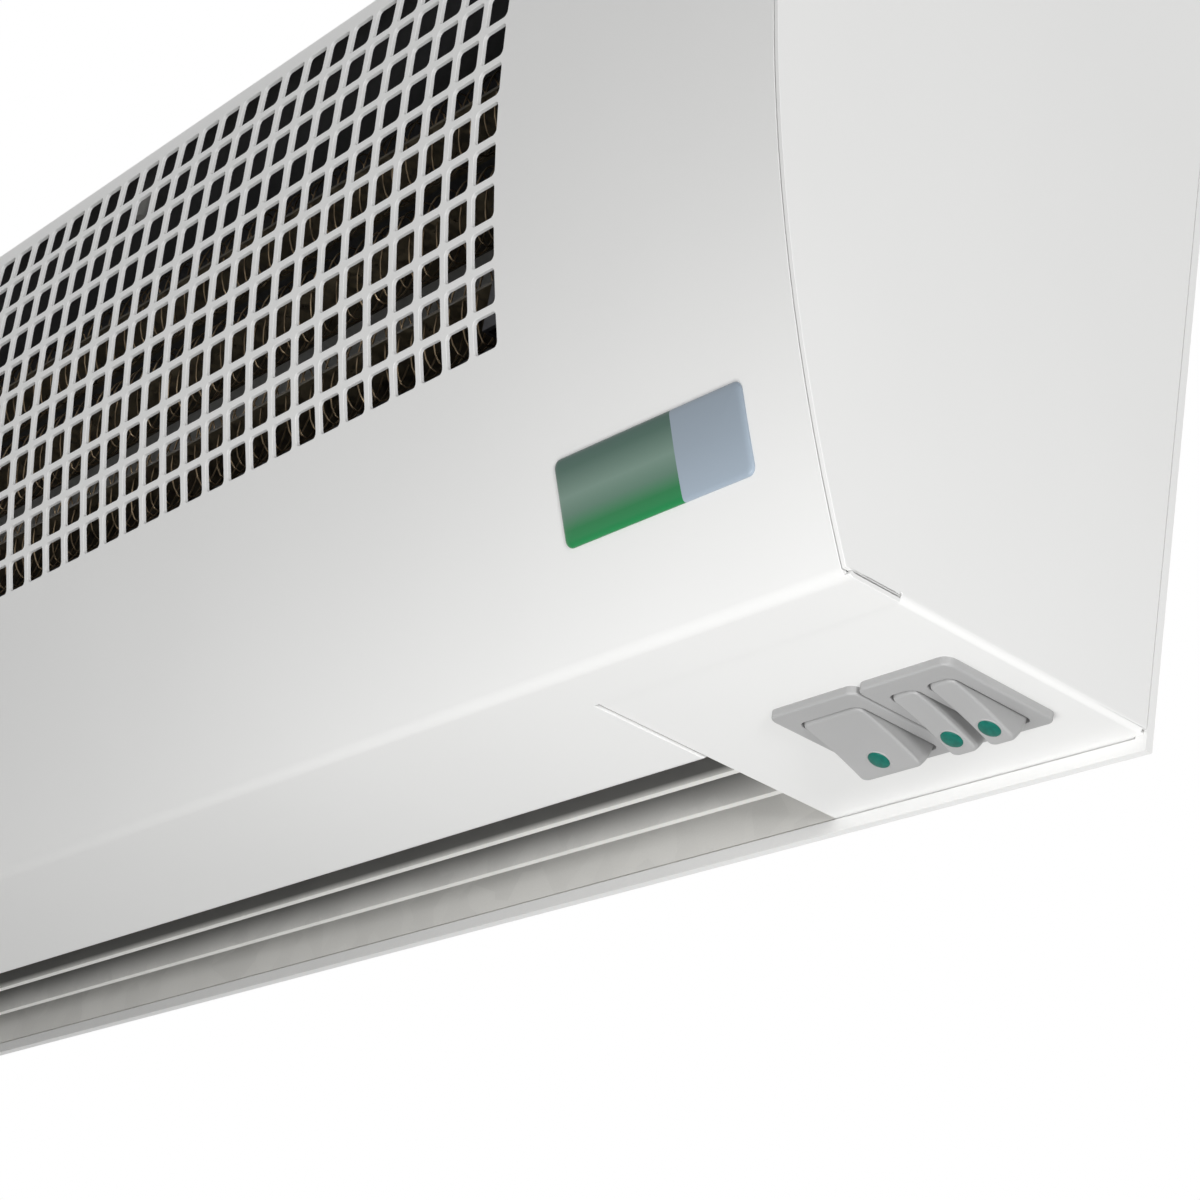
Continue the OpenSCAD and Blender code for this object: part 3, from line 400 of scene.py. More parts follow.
def plain_metal(name, code, rough, mm=1.5):
    """Drawn or turned metal: fine marks along its length, mm across, vary its gloss."""
    made, tree, shader, place = new_material(name, {"Metallic": 1.0})
    long = add(tree, "Mapping", {"Vector": place, "Scale": (0.1, 1.0, 1.0)}).outputs[0]
    scratch = {"Vector": long, "Scale": 1 / (mm * MM), "Detail": 3.0}
    marks = add(tree, "TexNoise", scratch).outputs[0]
    stops = tints(linear(code), 0.82, 1.08, (0.25, 0.8))
    textured(tree, shader, marks, stops, marks, (rough * 0.8, rough * 1.25), 0.01 * MM)
    return made


def mica_board(colours):
    """Pressed mica, darkened as painted shade behind the grille: flakes some 2 mm across, with a
    dull glitter.
    """
    made, tree, shader, place = new_material("pressed_mica", {})
    flakes = add(tree, "TexVoronoi", {"Vector": place, "Scale": 1 / (2 * MM)}).outputs["Color"]
    grain = add(tree, "SeparateColor", {0: flakes}).outputs[0]
    # Painted shade: the mica's colour is cut to between a tenth and three tenths
    stops = tints(colours.mica, 0.1, 0.3, (0.1, 0.9))
    textured(tree, shader, grain, stops, grain, (0.3, 0.65), 0.05 * MM, 0.4)
    return made


def moulded(name, rgb, rough=0.42, grain=0.6, depth=0.03):
    """Injection-moulded plastic: a fine eroded texture, its size in mm, and a slight bloom."""
    made, tree, shader, place = new_material(name, {"IOR": 1.53})
    fine = add(tree, "TexNoise", {"Vector": place, "Scale": 1 / (grain * MM)}).outputs[0]
    cloud = add(tree, "TexNoise", {"Vector": place, "Scale": 1 / (20 * MM)}).outputs[0]
    stops = tints(rgb, 0.96, 1.03)
    textured(tree, shader, cloud, stops, fine, (rough * 0.85, rough * 1.15), depth * MM)
    return made


def lens_plastic(colours):
    """Tinted clear acrylic: glossy and deep in colour, with a faint 1.2 mm ripple under it."""
    made, tree, shader, place = new_material("tinted_lens", {"Roughness": 0.16, "IOR": 1.3})
    cloud = add(tree, "TexNoise", {"Vector": place, "Scale": 1 / (1.2 * MM)}).outputs[0]
    tint = add(tree, "ValToRGB", {"Fac": cloud}, tints(colours.teal, 0.8, 1.15, (0.3, 0.75)))
    relief = {"Height": cloud, "Distance": 0.04 * MM, "Strength": 0.2}
    normal = add(tree, "Bump", relief).outputs[0]
    fill(tree, shader, {"Base Color": tint.outputs[0], "Normal": normal})
    return made


def badge_print(sizes, colours):
    """Two printed fields under clear polyurethane: each field's colour changes with height, the
    coat is glossy.
    """
    gloss = {"Roughness": 0.3, "IOR": 1.3, "Coat Weight": 0.35, "Coat Roughness": 0.03}
    made, tree, shader, _ = new_material("domed_badge", gloss)
    share = add(tree, "UVMap", uv_map="badge_share").outputs[0]
    parts = add(tree, "SeparateXYZ", {0: share})
    green, silver = colours.field_a, colours.field_b
    fields = [
        [
            (0.0, shade(green, 1.3)),
            (0.18, green),
            (0.36, linear("#577A68")),
            (0.55, linear("#6F8A7D")),
            (0.85, linear("#3E5F52")),
            (1.0, linear("#33534A")),
        ],
        [(0.0, shade(silver, 1.2)), (0.5, silver), (1.0, shade(silver, 0.85))],
    ]
    up = {"Fac": parts.outputs[1]}
    left, right = [add(tree, "ValToRGB", up, stops).outputs[0] for stops in fields]
    divider = {0: parts.outputs[0], 1: 0.5 + sizes.divider / sizes.width}
    side = add(tree, "Math", divider, operation="GREATER_THAN").outputs[0]
    both = add(tree, "Mix", {0: side, 6: left, 7: right}, data_type="RGBA").outputs[2]
    fill(tree, shader, {"Base Color": both})
    return made


def wire_metal(colours):
    """Nickel-chromium wire oxidised brown in patches some 6 mm long; the brightest, at twice its
    colour, are painted highlights for glints.
    """
    made, tree, shader, place = new_material("heating_wire", {"Metallic": 1.0})
    oxide_and_glint_noise = {"Vector": place, "Scale": 1 / (6 * MM), "Detail": 3.0}
    oxide_and_glint = add(tree, "TexNoise", oxide_and_glint_noise).outputs[0]
    # Oxide tone varies along the wire; the top stop, at twice its colour, is a painted highlight
    stops = [(0.35, shade(colours.wire, 0.3)), (0.6, colours.wire), (0.76, shade(colours.wire, 2))]
    spread = {"Value": oxide_and_glint, "To Min": 0.5, "To Max": 0.28}
    surface = {
        "Base Color": add(tree, "ValToRGB", {"Fac": oxide_and_glint}, stops).outputs[0],
        "Roughness": add(tree, "MapRange", spread).outputs[0],
    }
    fill(tree, shader, surface)
    return made


# ---- Meshes from numbers ----


def add_piece(name, points, faces, material, body, normals=None, sharp=32.0):
    """Mesh piece from points (n, 3) and a list of (m, k) face arrays, all in metres.

    Corner normals are given in the faces' order, or edges sharper than sharp degrees stay sharp
    and flat faces keep their own direction.
    """
    used = np.unique(np.concatenate([f.ravel() for f in faces]))
    renumber = np.zeros(len(points), np.int64)
    renumber[used] = np.arange(len(used))
    loops = renumber[np.concatenate([f.ravel() for f in faces])].astype(np.int32)
    counts = np.concatenate([np.full(len(f), f.shape[1]) for f in faces])
    starts = np.concatenate([[0], np.cumsum(counts)[:-1]]).astype(np.int32)
    mesh = bpy.data.meshes.new(name)
    mesh.vertices.add(len(used))
    mesh.vertices.foreach_set("co", points[used].astype(np.float32).ravel())
    mesh.loops.add(len(loops))
    mesh.loops.foreach_set("vertex_index", loops)
    mesh.polygons.add(len(counts))
    mesh.polygons.foreach_set("loop_start", starts)
    mesh.update(calc_edges=True)
    if mesh.validate():
        raise RuntimeError(f"{name} has faces that fold up")
    mesh.materials.append(material)
    made = bpy.data.objects.new(name, mesh)
    bpy.context.scene.collection.objects.link(made)
    if normals is not None:
        mesh.normals_split_custom_set(np.concatenate(normals).astype(np.float32))
    else:
        mesh.set_sharp_from_angle(angle=math.radians(sharp))
        made.modifiers.new("even normals", "WEIGHTED_NORMAL").keep_sharp = True
    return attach(made, body)


def joined(shells):
    """Several (points, faces) shells as one: each shell's numbers follow the last one's."""
    points, faces, count = [], [], 0
    for shell_points, shell_faces in shells:
        points.append(shell_points)
        faces += [f + count for f in shell_faces]
        count += len(shell_points)
    return np.concatenate(points), faces


def bent_line(start, heading, runs, along):
    """Points (n, 2) and headings of a sheet's line at the lengths along it.

    Each run is (length, turn): a point lies at the run's start plus the chord of the turn made
    so far, which is u * sin(h) / h long for half that turn h, and points along heading + h.
    """
    at, angle, done = np.array(start, float), heading, 0.0
    points = np.zeros((len(along), 2))
    headings = np.full(len(along), angle)
    for run, turn in runs:
        here = along >= done - 1e-9
        u = np.clip(along - done, 0, run)
        half = turn * u / run / 2
        chord = u * np.sinc(half / np.pi)
        way = np.column_stack([np.cos(angle + half), np.sin(angle + half)])
        points[here] = (at + chord[:, None] * way)[here]
        headings[here] = (angle + 2 * half)[here]
        half, chord = turn / 2, run * np.sinc(turn / 2 / np.pi)
        at = at + chord * np.array([math.cos(angle + half), math.sin(angle + half)])
        angle += turn
        done += run
    return points, headings


def sheet_metal(flat, faces, place, thick, edge, across=X_AXIS):
    """Closed sheet from its flat pattern (n, 2), whose faces turn left seen from outside.

    place(flat, depth) bends the pattern and gives points, outward normals and the direction of
    the second coordinate; across is the first one's. Edges that one face uses are the rim: the
    outside draws back from it by edge, a chamfer falls to the rim at that depth, and a wall goes
    on to the inside, whose faces come last; their number is returned too. A rim point takes the
    mean direction of its two edges where these turn less than 50 degrees.
    """
    count = len(flat)
    start = np.concatenate([f.ravel() for f in faces])
    end = np.concatenate([np.roll(f, -1, axis=1).ravel() for f in faces])
    key = np.minimum(start, end) * count + np.maximum(start, end)
    _, first, uses = np.unique(key, return_index=True, return_counts=True)
    a, b = start[first[uses == 1]], end[first[uses == 1]]
    step = flat[b] - flat[a]
    out = np.column_stack([step[:, 1], -step[:, 0]])
    out /= np.linalg.norm(out, axis=1)[:, None]
    total = np.zeros((count, 2))
    np.add.at(total, a, out)
    np.add.at(total, b, out)
    size = np.maximum(np.sum(total**2, axis=1), 1e-9)[:, None]
    top, top_n, _ = place(flat - total * 2 / size * edge, 0.0)
    rim, _, rim_t = place(flat, edge)
    back, back_n, _ = place(flat, thick)

    def rim_normal(v):
        soft = np.sqrt(size[v]) / 2 > math.cos(math.radians(50 / 2))
        d = np.where(soft, total[v] / np.sqrt(size[v]), out)
        return d[:, :1] * across + d[:, 1:] * rim_t[v]

    na, nb = rim_normal(a), rim_normal(b)
    chamfer = np.column_stack([b, a, a + count, b + count])
    wall = np.column_stack([b + count, a + count, a + 2 * count, b + 2 * count])
    turned = [f[:, ::-1] for f in faces]
    all_faces = [*faces, chamfer, wall, *[f + 2 * count for f in turned]]
    normals = [
        *[top_n[f].reshape(-1, 3) for f in faces],
        np.stack([top_n[b], top_n[a], na, nb], axis=1).reshape(-1, 3),
        np.stack([nb, na, na, nb], axis=1).reshape(-1, 3),
        *[-back_n[f].reshape(-1, 3) for f in turned],
    ]
    inside = sum(len(f) for f in turned)
    return np.concatenate([top, rim, back]), all_faces, normals, inside


def rounded_ring(w, l, r, steps=6):
    """Rounded rectangle (n, 2) about the origin: a quarter circle of radius r at each corner."""
    angle = np.linspace(0, np.pi / 2, steps)
    corners = [(1, 1), (-1, 1), (-1, -1), (1, -1)]
    return np.concatenate(
        [
            np.column_stack(
                [
                    sx * (w / 2 - r) + r * np.cos(angle + k * np.pi / 2),
                    sy * (l / 2 - r) + r * np.sin(angle + k * np.pi / 2),
                ]
            )
            for k, (sx, sy) in enumerate(corners)
        ]
    )


def skin(rings, closed=True):
    """Shell over rings (k, n, 3) that turn left about the way they follow; ends get a face."""
    k, n = rings.shape[:2]
    i = np.arange(n)
    j = (i + 1) % n
    rows = np.arange(k - 1)[:, None] * n
    quads = np.stack([rows + i, rows + j, rows + n + j, rows + n + i], axis=-1).reshape(-1, 4)
    faces = [quads]
    if closed:
        faces += [i[::-1][None], (i + (k - 1) * n)[None]]
    return rings.reshape(-1, 3), faces


def tube(path, radius, sides):
    """Tube along path (n, 3): circles square to the path, each begun square to X as well."""
    way = np.gradient(path, axis=0)
    way /= np.linalg.norm(way, axis=1)[:, None]
    side = np.cross(way, X_AXIS)
    side /= np.linalg.norm(side, axis=1)[:, None]
    up = np.cross(way, side)
    turn = np.linspace(0, 2 * np.pi, sides, endpoint=False)
    ring = np.cos(turn)[:, None] * side[:, None] + np.sin(turn)[:, None] * up[:, None]
    return skin(path[:, None] + radius * ring)


# ---- Front cover ----


def bow_circle(s):
    """Height of the front's arc up to its widest line, and its radius through both ends."""
    arc_h = COVER_HI.z - COVER_LO.z - s.top_r
    bulge = -COVER_LO.y - s.under_depth
    return arc_h, (bulge**2 + arc_h**2) / (2 * bulge)


def cover_runs(s):
    """Bends of the cover from the outlet's return up to the top flange, as (length, turn)."""
    arc_h, radius = bow_circle(s)
    bow = math.asin((arc_h - s.crease_r) / (radius - s.crease_r))
    bend_y = COVER_LO.y + radius - (radius - s.crease_r) * math.cos(bow)
    flat = COVER_HI.y - s.lip_r - bend_y
    fold = math.pi / 2 - bow
    return [
        (s.lip_h - s.lip_r, 0.0),
        (s.lip_r * math.pi / 2, -math.pi / 2),
        (flat, 0.0),
        (s.crease_r * fold, -fold),
        (radius * bow, -bow),
        (s.top_r * math.pi / 2, -math.pi / 2),
        (s.top_flange, 0.0),
    ]


def on_cover(s, flat, depth):
    """Bends pattern points (x, length from the return's edge) into the cover, depth inwards."""
    start = (COVER_HI.y, COVER_LO.z + s.lip_h)
    line, heading = bent_line(start, -math.pi / 2, cover_runs(s), flat[:, 1])
    zero = np.zeros(len(flat))
    normal = np.column_stack([zero, -np.sin(heading), np.cos(heading)])
    along = np.column_stack([zero, np.cos(heading), np.sin(heading)])
    return np.column_stack([flat[:, 0], line]) - depth * normal, normal, along


def cover_pattern(s, g):
    """Flat pattern of the cover: a grid of cells, of which the grille's have a rounded hole.

    A hole's outline has 20 points, five to a corner, and so has the edge of its cell; the cells
    beside the grille take the same points on the side that they share. marks are the lengths at
    which the cover's runs begin: 1 lip fold, 2 flange, 3 crease, 4 bow, 5 top fold, 6 top flange.
    """
    marks = np.cumsum([0] + [run for run, _ in cover_runs(s)])
    crown = marks[5]
    low = crown - g.first_row - (g.rows - 0.5) * g.pitch
    high = crown - g.first_row + 0.5 * g.pitch
    strip = marks[2] + (s.strip_y + COVER_HI.y - s.lip_r)
    right = g.first_x + g.pitch / 2
    inner = right - g.pitch * np.arange(1, g.columns)[::-1]
    xs = np.concatenate(
        [
            [COVER_LO.x],
            np.linspace(-s.half_l, -s.notch_left, 5),
            inner,
            np.linspace(s.notch_right, s.half_l, 10),
            [COVER_HI.x],
        ]
    )
    vs = np.concatenate(
        [
            [0.0],
            np.linspace(marks[1], marks[2], 4),
            [(marks[2] + strip) / 2, strip],
            np.linspace(marks[3], marks[4], 9),
            np.linspace(marks[4], low, 15)[1:-1],
            low + g.pitch * np.arange(g.rows),
            [high],
            np.linspace(marks[5], marks[6], 7),
            [marks[7]],
        ]
    )
    nx, nv = len(xs), len(vs)
    # The grille's first column of cells starts over the end of the outlet's left notch
    c0 = int(np.searchsorted(xs, -s.notch_left - 1e-6))
    r0 = int(np.searchsorted(vs, low - 1e-6))
    cols, rows = g.columns, g.rows
    grid = np.stack(np.meshgrid(xs, vs), axis=-1)
    number = np.arange(nx * nv).reshape(nv, nx)

    # Four points inside each side of the grille's cells
    part = np.array([0.2, 0.4, 0.6, 0.8])[:, None]
    a = grid[r0 : r0 + rows + 1, c0 : c0 + cols, None]
    b = grid[r0 : r0 + rows + 1, c0 + 1 : c0 + cols + 1, None]
    level = a + (b - a) * part
    a = grid[r0 : r0 + rows, c0 : c0 + cols + 1, None]
    b = grid[r0 + 1 : r0 + rows + 1, c0 : c0 + cols + 1, None]
    upright = a + (b - a) * part
    n_level = nx * nv + np.arange(level[..., 0].size).reshape(level.shape[:3])
    n_upright = n_level.size + nx * nv + np.arange(upright[..., 0].size).reshape(upright.shape[:3])

    # Edge of each cell and outline of its hole, both from the lower left corner to the left
    ll = number[r0 : r0 + rows, c0 : c0 + cols, None]
    lr = number[r0 : r0 + rows, c0 + 1 : c0 + cols + 1, None]
    ul = number[r0 + 1 : r0 + rows + 1, c0 : c0 + cols, None]
    ur = number[r0 + 1 : r0 + rows + 1, c0 + 1 : c0 + cols + 1, None]
    edge = np.concatenate(
        [
            ll,
            n_level[:-1],
            lr,
            n_upright[:, 1:],
            ur,
            n_level[1:, :, ::-1],
            ul,
            n_upright[:, :-1, ::-1],
        ],
        axis=2,
    ).reshape(-1, 20)
    turn = np.radians(np.array([225, 247.5, 270, 270, 292.5]))[None] + np.radians(
        np.arange(4) * 90
    )[:, None]
    corner = np.array([[-1, -1], [-1, -1], [-1, -1], [1, -1], [1, -1]])
    quarter = np.array([[0, 1], [-1, 0]])
    sides = np.stack([corner @ np.linalg.matrix_power(quarter, k) for k in range(4)])
    half = g.hole / 2 - g.corner
    outline = sides * half + g.corner * np.stack([np.cos(turn), np.sin(turn)], axis=-1)
    middle = np.stack(
        np.meshgrid(
            right - g.pitch * (cols - 0.5 - np.arange(cols)),
            low + g.pitch * (np.arange(rows) + 0.5),
        ),
        axis=-1,
    ).reshape(-1, 1, 2)
    holes = middle + outline.reshape(1, 20, 2)
    n_holes = n_level.size + n_upright.size + nx * nv + np.arange(holes[..., 0].size)
    n_holes = n_holes.reshape(-1, 20)
    ring = np.stack(
        [edge, np.roll(edge, -1, 1), np.roll(n_holes, -1, 1), n_holes], axis=-1
    ).reshape(-1, 4)

    # Plain cells, without the grille's and the notches beside the outlet. Past the front's ends
    # only the flange goes on, up to the middle of the crease.
    row, col = np.meshgrid(np.arange(nv - 1), np.arange(nx - 1), indexing="ij")
    in_rows = (row >= r0) & (row < r0 + rows)
    in_cols = (col >= c0) & (col < c0 + cols)
    middle_x, middle_v = (xs[1:] + xs[:-1]) / 2, (vs[1:] + vs[:-1]) / 2
    aside = (middle_x > s.notch_right) | (middle_x < -s.notch_left)
    notch = aside[None] & (middle_v < strip)[:, None]
    past_end, above = np.abs(middle_x) > s.half_l, middle_v > (marks[3] + marks[4]) / 2
    notch |= past_end[None] & above[:, None]
    below, over = in_cols & (row == r0 - 1), in_cols & (row == r0 + rows)
    before, after = in_rows & (col == c0 - 1), in_rows & (col == c0 + cols)
    plain = ~(notch | (in_rows & in_cols) | below | over | before | after)

    def corners(which):
        i, j = row[which], col[which]
        return [number[i, j], number[i, j + 1], number[i + 1, j + 1], number[i + 1, j]]

    p = corners(below)
    q = corners(over)
    t = corners(before)
    u = corners(after)
    faces = [
        ring,
        np.column_stack(corners(plain)),
        np.column_stack([p[0], p[1], p[2], n_level[0][:, ::-1], p[3]]),
        np.column_stack([q[0], n_level[-1], q[1], q[2], q[3]]),
        np.column_stack([t[0], t[1], n_upright[:, 0], t[2], t[3]]),
        np.column_stack([u[0], u[1], u[2], u[3], n_upright[:, -1][:, ::-1]]),
    ]
    flat = np.concatenate(
        [grid.reshape(-1, 2), level.reshape(-1, 2), upright.reshape(-1, 2), holes.reshape(-1, 2)]
    )
    return flat, faces


class MakeCover(bpy.types.Operator):
    """Bend the perforated front cover from its flat pattern"""

    bl_idname = "air_curtain.cover"
    bl_label = "Front cover"

    def execute(self, context):
        s, g = context.scene.ac_cover, context.scene.ac_grille
        flat, faces = cover_pattern(s, g)

        def place(pattern, depth):
            return on_cover(s, pattern, depth)

        points, faces, normals, inside = sheet_metal(flat, faces, place, s.sheet, s.edge)
        white = bpy.data.materials["powder_coated_steel"]
        made = add_piece("perforated_front", points, faces, white, "casing", normals)
        # Painted shade on the inner faces between the outlet's notches
        made.data.materials.append(bpy.data.materials["inner_primer"])
        count = len(made.data.polygons)
        middle = np.zeros(count * 3, np.float32)
        made.data.polygons.foreach_get("center", middle)
        x = middle[::3]
        shaded_inside = (np.arange(count) >= count - inside) & (x < s.notch_right) & (x > -s.notch_left)
        made.data.polygons.foreach_set("material_index", shaded_inside.astype(np.int32))
        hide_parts("front_cover")
        return {"FINISHED"}


# ---- End panels ----


def front_edge(s, z):
    """y of an end panel's front edge at height z: the cover's bow, then its top fold."""
    arc_h, radius = bow_circle(s)
    up = z - COVER_LO.z - arc_h
    bow = radius - np.sqrt(radius**2 - np.minimum(up, 0) ** 2)
    fold = s.top_r - np.sqrt(s.top_r**2 - np.clip(up, 0, s.top_r) ** 2)
    return COVER_LO.y + np.where(up < 0, bow, fold)


def end_pattern(s, e, flat_l, cuts, middle):
    """Flat pattern of an end panel as (y, length from the plate's inner edge), and its faces.

    Ahead of the plate the side starts a seam above the flange. The switch openings lie about
    the lengths in cuts and about y = middle. The plate's rear edge covers the lower hem and
    stops short of the side hem, and a notch frees the rear corner of the bend.
    """
    bend = e.bend_r * math.pi / 2
    end = flat_l + bend
    start = end + s.sheet + e.seam - e.plate_up - e.bend_r
    height = COVER_HI.z - COVER_LO.z - e.plate_up - e.bend_r
    fold = np.linspace(0, np.pi / 2, 6)
    sides = [c + k * e.cut_w / 2 for c in cuts for k in (-1, 1)]
    v = np.concatenate(
        [
            [0.0, *sides, flat_l - e.hem_w, flat_l - e.hem_w + e.relief / 4],
            np.linspace(flat_l, end, 9),
            [start],
            end + np.linspace(0, height - s.top_r, 24)[1:-1],
            end + height - s.top_r * (1 - np.sin(fold)),
        ]
    )
    v = np.unique(v)
    z = COVER_LO.z + e.plate_up + e.bend_r + v - end
    front = front_edge(s, z)[:, None]
    plate_y = -s.strip_y + e.seam
    t = np.linspace(0, 1, 6)
    y = np.concatenate(
        [
            front + (plate_y - e.seam - front) * t,
            np.broadcast_to(
                [
                    plate_y,
                    middle - e.cut_l / 2,
                    middle + e.cut_l / 2,
                    -e.rear_y - e.relief,
                    -e.rear_y,
                ],
                (len(v), 5),
            ),
        ],
        axis=1,
    )
    y[v <= flat_l - e.hem_w, -1] = -e.plate_in
    flat = np.stack([y, np.broadcast_to(v[:, None], y.shape)], axis=-1)
    number = np.arange(y.size).reshape(y.shape)
    row, col = np.meshgrid(np.arange(len(v) - 1), np.arange(y.shape[1] - 1), indexing="ij")
    at = ((v[1:] + v[:-1]) / 2)[:, None]
    lower = np.where(col < 5, at < start, (col == 5) & (at < end))
    open_at = np.zeros_like(at, bool)
    for c in cuts:
        open_at |= np.abs(at - c) < e.cut_w / 2
    notch = (col == 9) & (np.abs(at - flat_l - bend / 2) < e.relief / 2)
    kept = ~(lower | (open_at & (col == 7)) | notch)
    i, j = row[kept], col[kept]
    corners = [number[i, j], number[i, j + 1], number[i + 1, j + 1], number[i + 1, j]]
    return flat.reshape(-1, 2), [np.column_stack(corners)]


def box_shell(lo, hi):
    """Box with its faces' normals, from the lowest to the highest corner."""
    ring = np.array([[0, 0], [1, 0], [1, 1], [0, 1]])
    unit = np.concatenate([np.column_stack([ring, np.full(4, k)]) for k in (0, 1)])
    points = np.array(lo) + unit * (np.array(hi) - np.array(lo))
    faces = np.array(
        [[3, 2, 1, 0], [4, 5, 6, 7], [0, 1, 5, 4], [1, 2, 6, 5], [2, 3, 7, 6], [3, 0, 4, 7]]
    )
    normals = np.array([[0, 0, -1], [0, 0, 1], [0, -1, 0], [1, 0, 0], [0, 1, 0], [-1, 0, 0]])
    return points, faces, np.repeat(normals, 4, axis=0)


class MakeEnds(bpy.types.Operator):
    """Bend both end panels from their flat patterns"""

    bl_idname = "air_curtain.ends"
    bl_label = "End panels"

    def execute(self, context):
        scene = context.scene
        s, e, switch = scene.ac_cover, scene.ac_ends, scene.ac_switch
        x_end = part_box("right_end_panel")[1].x
        white = bpy.data.materials["powder_coated_steel"]
        low, high = COVER_LO.z + e.flange_z, COVER_HI.z - e.flange_z
        for side, plate_l, cuts in (
            ("right", e.right_l, (switch.single_x, switch.double_x)),
            ("left", e.left_l, ()),
        ):
            inner = x_end - plate_l
            flat_l = plate_l - e.bend_r
            cuts = [x - inner for x in cuts]
            flat, faces = end_pattern(s, e, flat_l, cuts, switch.middle_y)
            runs = [(flat_l, 0.0), (e.bend_r * math.pi / 2, math.pi / 2), (1.0, 0.0)]

            def place(pattern, depth):
                """Bends the pattern up at its end; ahead of the plate it is all side."""
                ahead = pattern[:, 0] < -s.strip_y + e.seam / 2
                start = (inner, COVER_LO.z + e.plate_up)
                line, heading = bent_line(start, 0.0, runs, pattern[:, 1])
                top = start[1] + e.bend_r + pattern[:, 1] - runs[0][0] - runs[1][0]
                x = np.where(ahead, x_end, line[:, 0])
                z = np.where(ahead, top, line[:, 1])
                heading = np.where(ahead, math.pi / 2, heading)
                zero = np.zeros(len(x))
                normal = np.column_stack([np.sin(heading), zero, -np.cos(heading)])
                along = np.column_stack([np.cos(heading), zero, np.sin(heading)])
                return np.column_stack([x, pattern[:, 0], z]) - depth * normal, normal, along

            points, faces, normals, _ = sheet_metal(flat, faces, place, s.sheet, s.edge, Y_AXIS)
            x0, x1 = x_end - s.sheet - e.flange_w, x_end - s.sheet
            rear = -e.flange_gap
            for lo, hi in (
                ((x0, rear - s.sheet, low), (x1, rear, high)),
                ((x0, rear, low), (x0 + s.sheet, -s.sheet, high)),
            ):
                box, quads, flat_n = box_shell(lo, hi)
                faces.append(quads + len(points))
                points = np.concatenate([points, box])
                normals.append(flat_n)
            if side == "left":
                mirror = np.array([-1.0, 1.0, 1.0])
                points = points * mirror
                normals = [
                    (n * mirror).reshape(*f.shape, 3)[:, ::-1].reshape(-1, 3)
                    for n, f in zip(normals, faces)
                ]
                faces = [f[:, ::-1] for f in faces]
            made = add_piece(f"{side}_end_sheet", points, faces, white, "casing", normals)
            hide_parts(f"{side}_end_panel")
        return {"FINISHED"}


# ---- Heater ----


class MakeWires(bpy.types.Operator):
    """Wind the heating wires through their boards"""

    bl_idname = "air_curtain.wires"
    bl_label = "Heating wires"

    def execute(self, context):
        w = context.scene.ac_wire
        metal = bpy.data.materials["heating_wire"]
        for k, level in enumerate(("lower", "middle", "upper")):
            node = f"{level}_heating_wire"
            lo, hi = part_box(node)
            turns = int((hi.x - lo.x) / w.pitch)
            t = np.linspace(0, turns, turns * 20 + 1)
            phase = 2 * np.pi * t
            # Oval turns: y by the cosine, z by the sine. Each turn leans its own way, by the sine
            # of angles far from a whole turn apart, and the depth wavers along the wire
            lean = w.lean * np.sin(2.39 * np.floor(t) + 1.7 * k)
            depth = w.half_depth * (1 + w.waver * np.sin(7.1 * t))
            path = np.column_stack(
                [
                    lo.x + (hi.x - lo.x) * t / turns + lean * np.sin(phase),
                    w.middle_y + depth * np.cos(phase),
                    (lo.z + hi.z) / 2 + w.half_height * np.sin(phase),
                ]
            )
            points, faces = tube(path, w.radius, sides=5)
            made = add_piece(f"{level}_wire_turns", points, faces, metal, "casing", sharp=180)
            made.modifiers.clear()
            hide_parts(node)
        return {"FINISHED"}


# ---- Switches ----


def hollow_face(s):
    """Arc of a rocker's hollow face: its edge (y, z), its radius and its centre's z."""
    edge_y, edge_z = s.rocker_r * math.cos(s.edge_a), s.rocker_r * math.sin(s.edge_a)
    face_r = (edge_y**2 + s.hollow**2) / (2 * s.hollow)
    return edge_y, edge_z, face_r, s.hollow - edge_z - face_r


def rocker_profile(s):
    """Outline (n, 2) of a rocker in (y, z) about its pivot, from the front edge to the left.

    The face is a hollow arc between two edges on a circle about the pivot, which a parabola
    rounds off from 1.3 radii beside each edge; the ends follow that circle up to a flat back
    with as many points as the face.
    """
    edge_y, edge_z, face_r, centre = hollow_face(s)
    cut = 1.3 * s.round_off
    y = np.linspace(-(edge_y - cut), edge_y - cut, 25)
    face = np.column_stack([y, centre + np.sqrt(face_r**2 - y**2)])
    start = -s.edge_a + cut / s.rocker_r
    end = math.asin(s.back_z / s.rocker_r)
    angle = np.linspace(start, end, 12)
    side = s.rocker_r * np.column_stack([np.cos(angle), np.sin(angle)])
    corner = np.array([edge_y, -edge_z])
    t = np.linspace(0, 1, 8)[1:-1, None]
    turn = (1 - t) ** 2 * face[-1] + 2 * t * (1 - t) * corner + t**2 * side[0]
    mirror = np.array([-1, 1])
    back = side[-1] * np.column_stack([np.linspace(1, -1, 25)[1:-1], np.ones(23)])
    return np.concatenate([face, turn, side, back, side[::-1] * mirror, turn[::-1] * mirror])


def inward(outline):
    """Unit normals into a closed outline (n, 2) that turns left."""
    way = np.roll(outline, -1, axis=0) - np.roll(outline, 1, axis=0)
    left = np.column_stack([-way[:, 1], way[:, 0]])
    return left / np.linalg.norm(left, axis=1)[:, None]


def tilted(s, points, x):
    """Turns rocker points (n, 3) about the pivot line and moves them to the switch at x."""
    turn = np.array(Matrix.Rotation(-s.tilt, 3, "X"))
    return points @ turn.T + np.array([x, s.pivot_y, s.pivot_z])


def quarter_in(r, d):
    """How far a quarter circle of radius r draws in at the distance d from its end."""
    return r - np.sqrt(np.clip(r**2 - np.clip(r - d, 0, r) ** 2, 0, None))


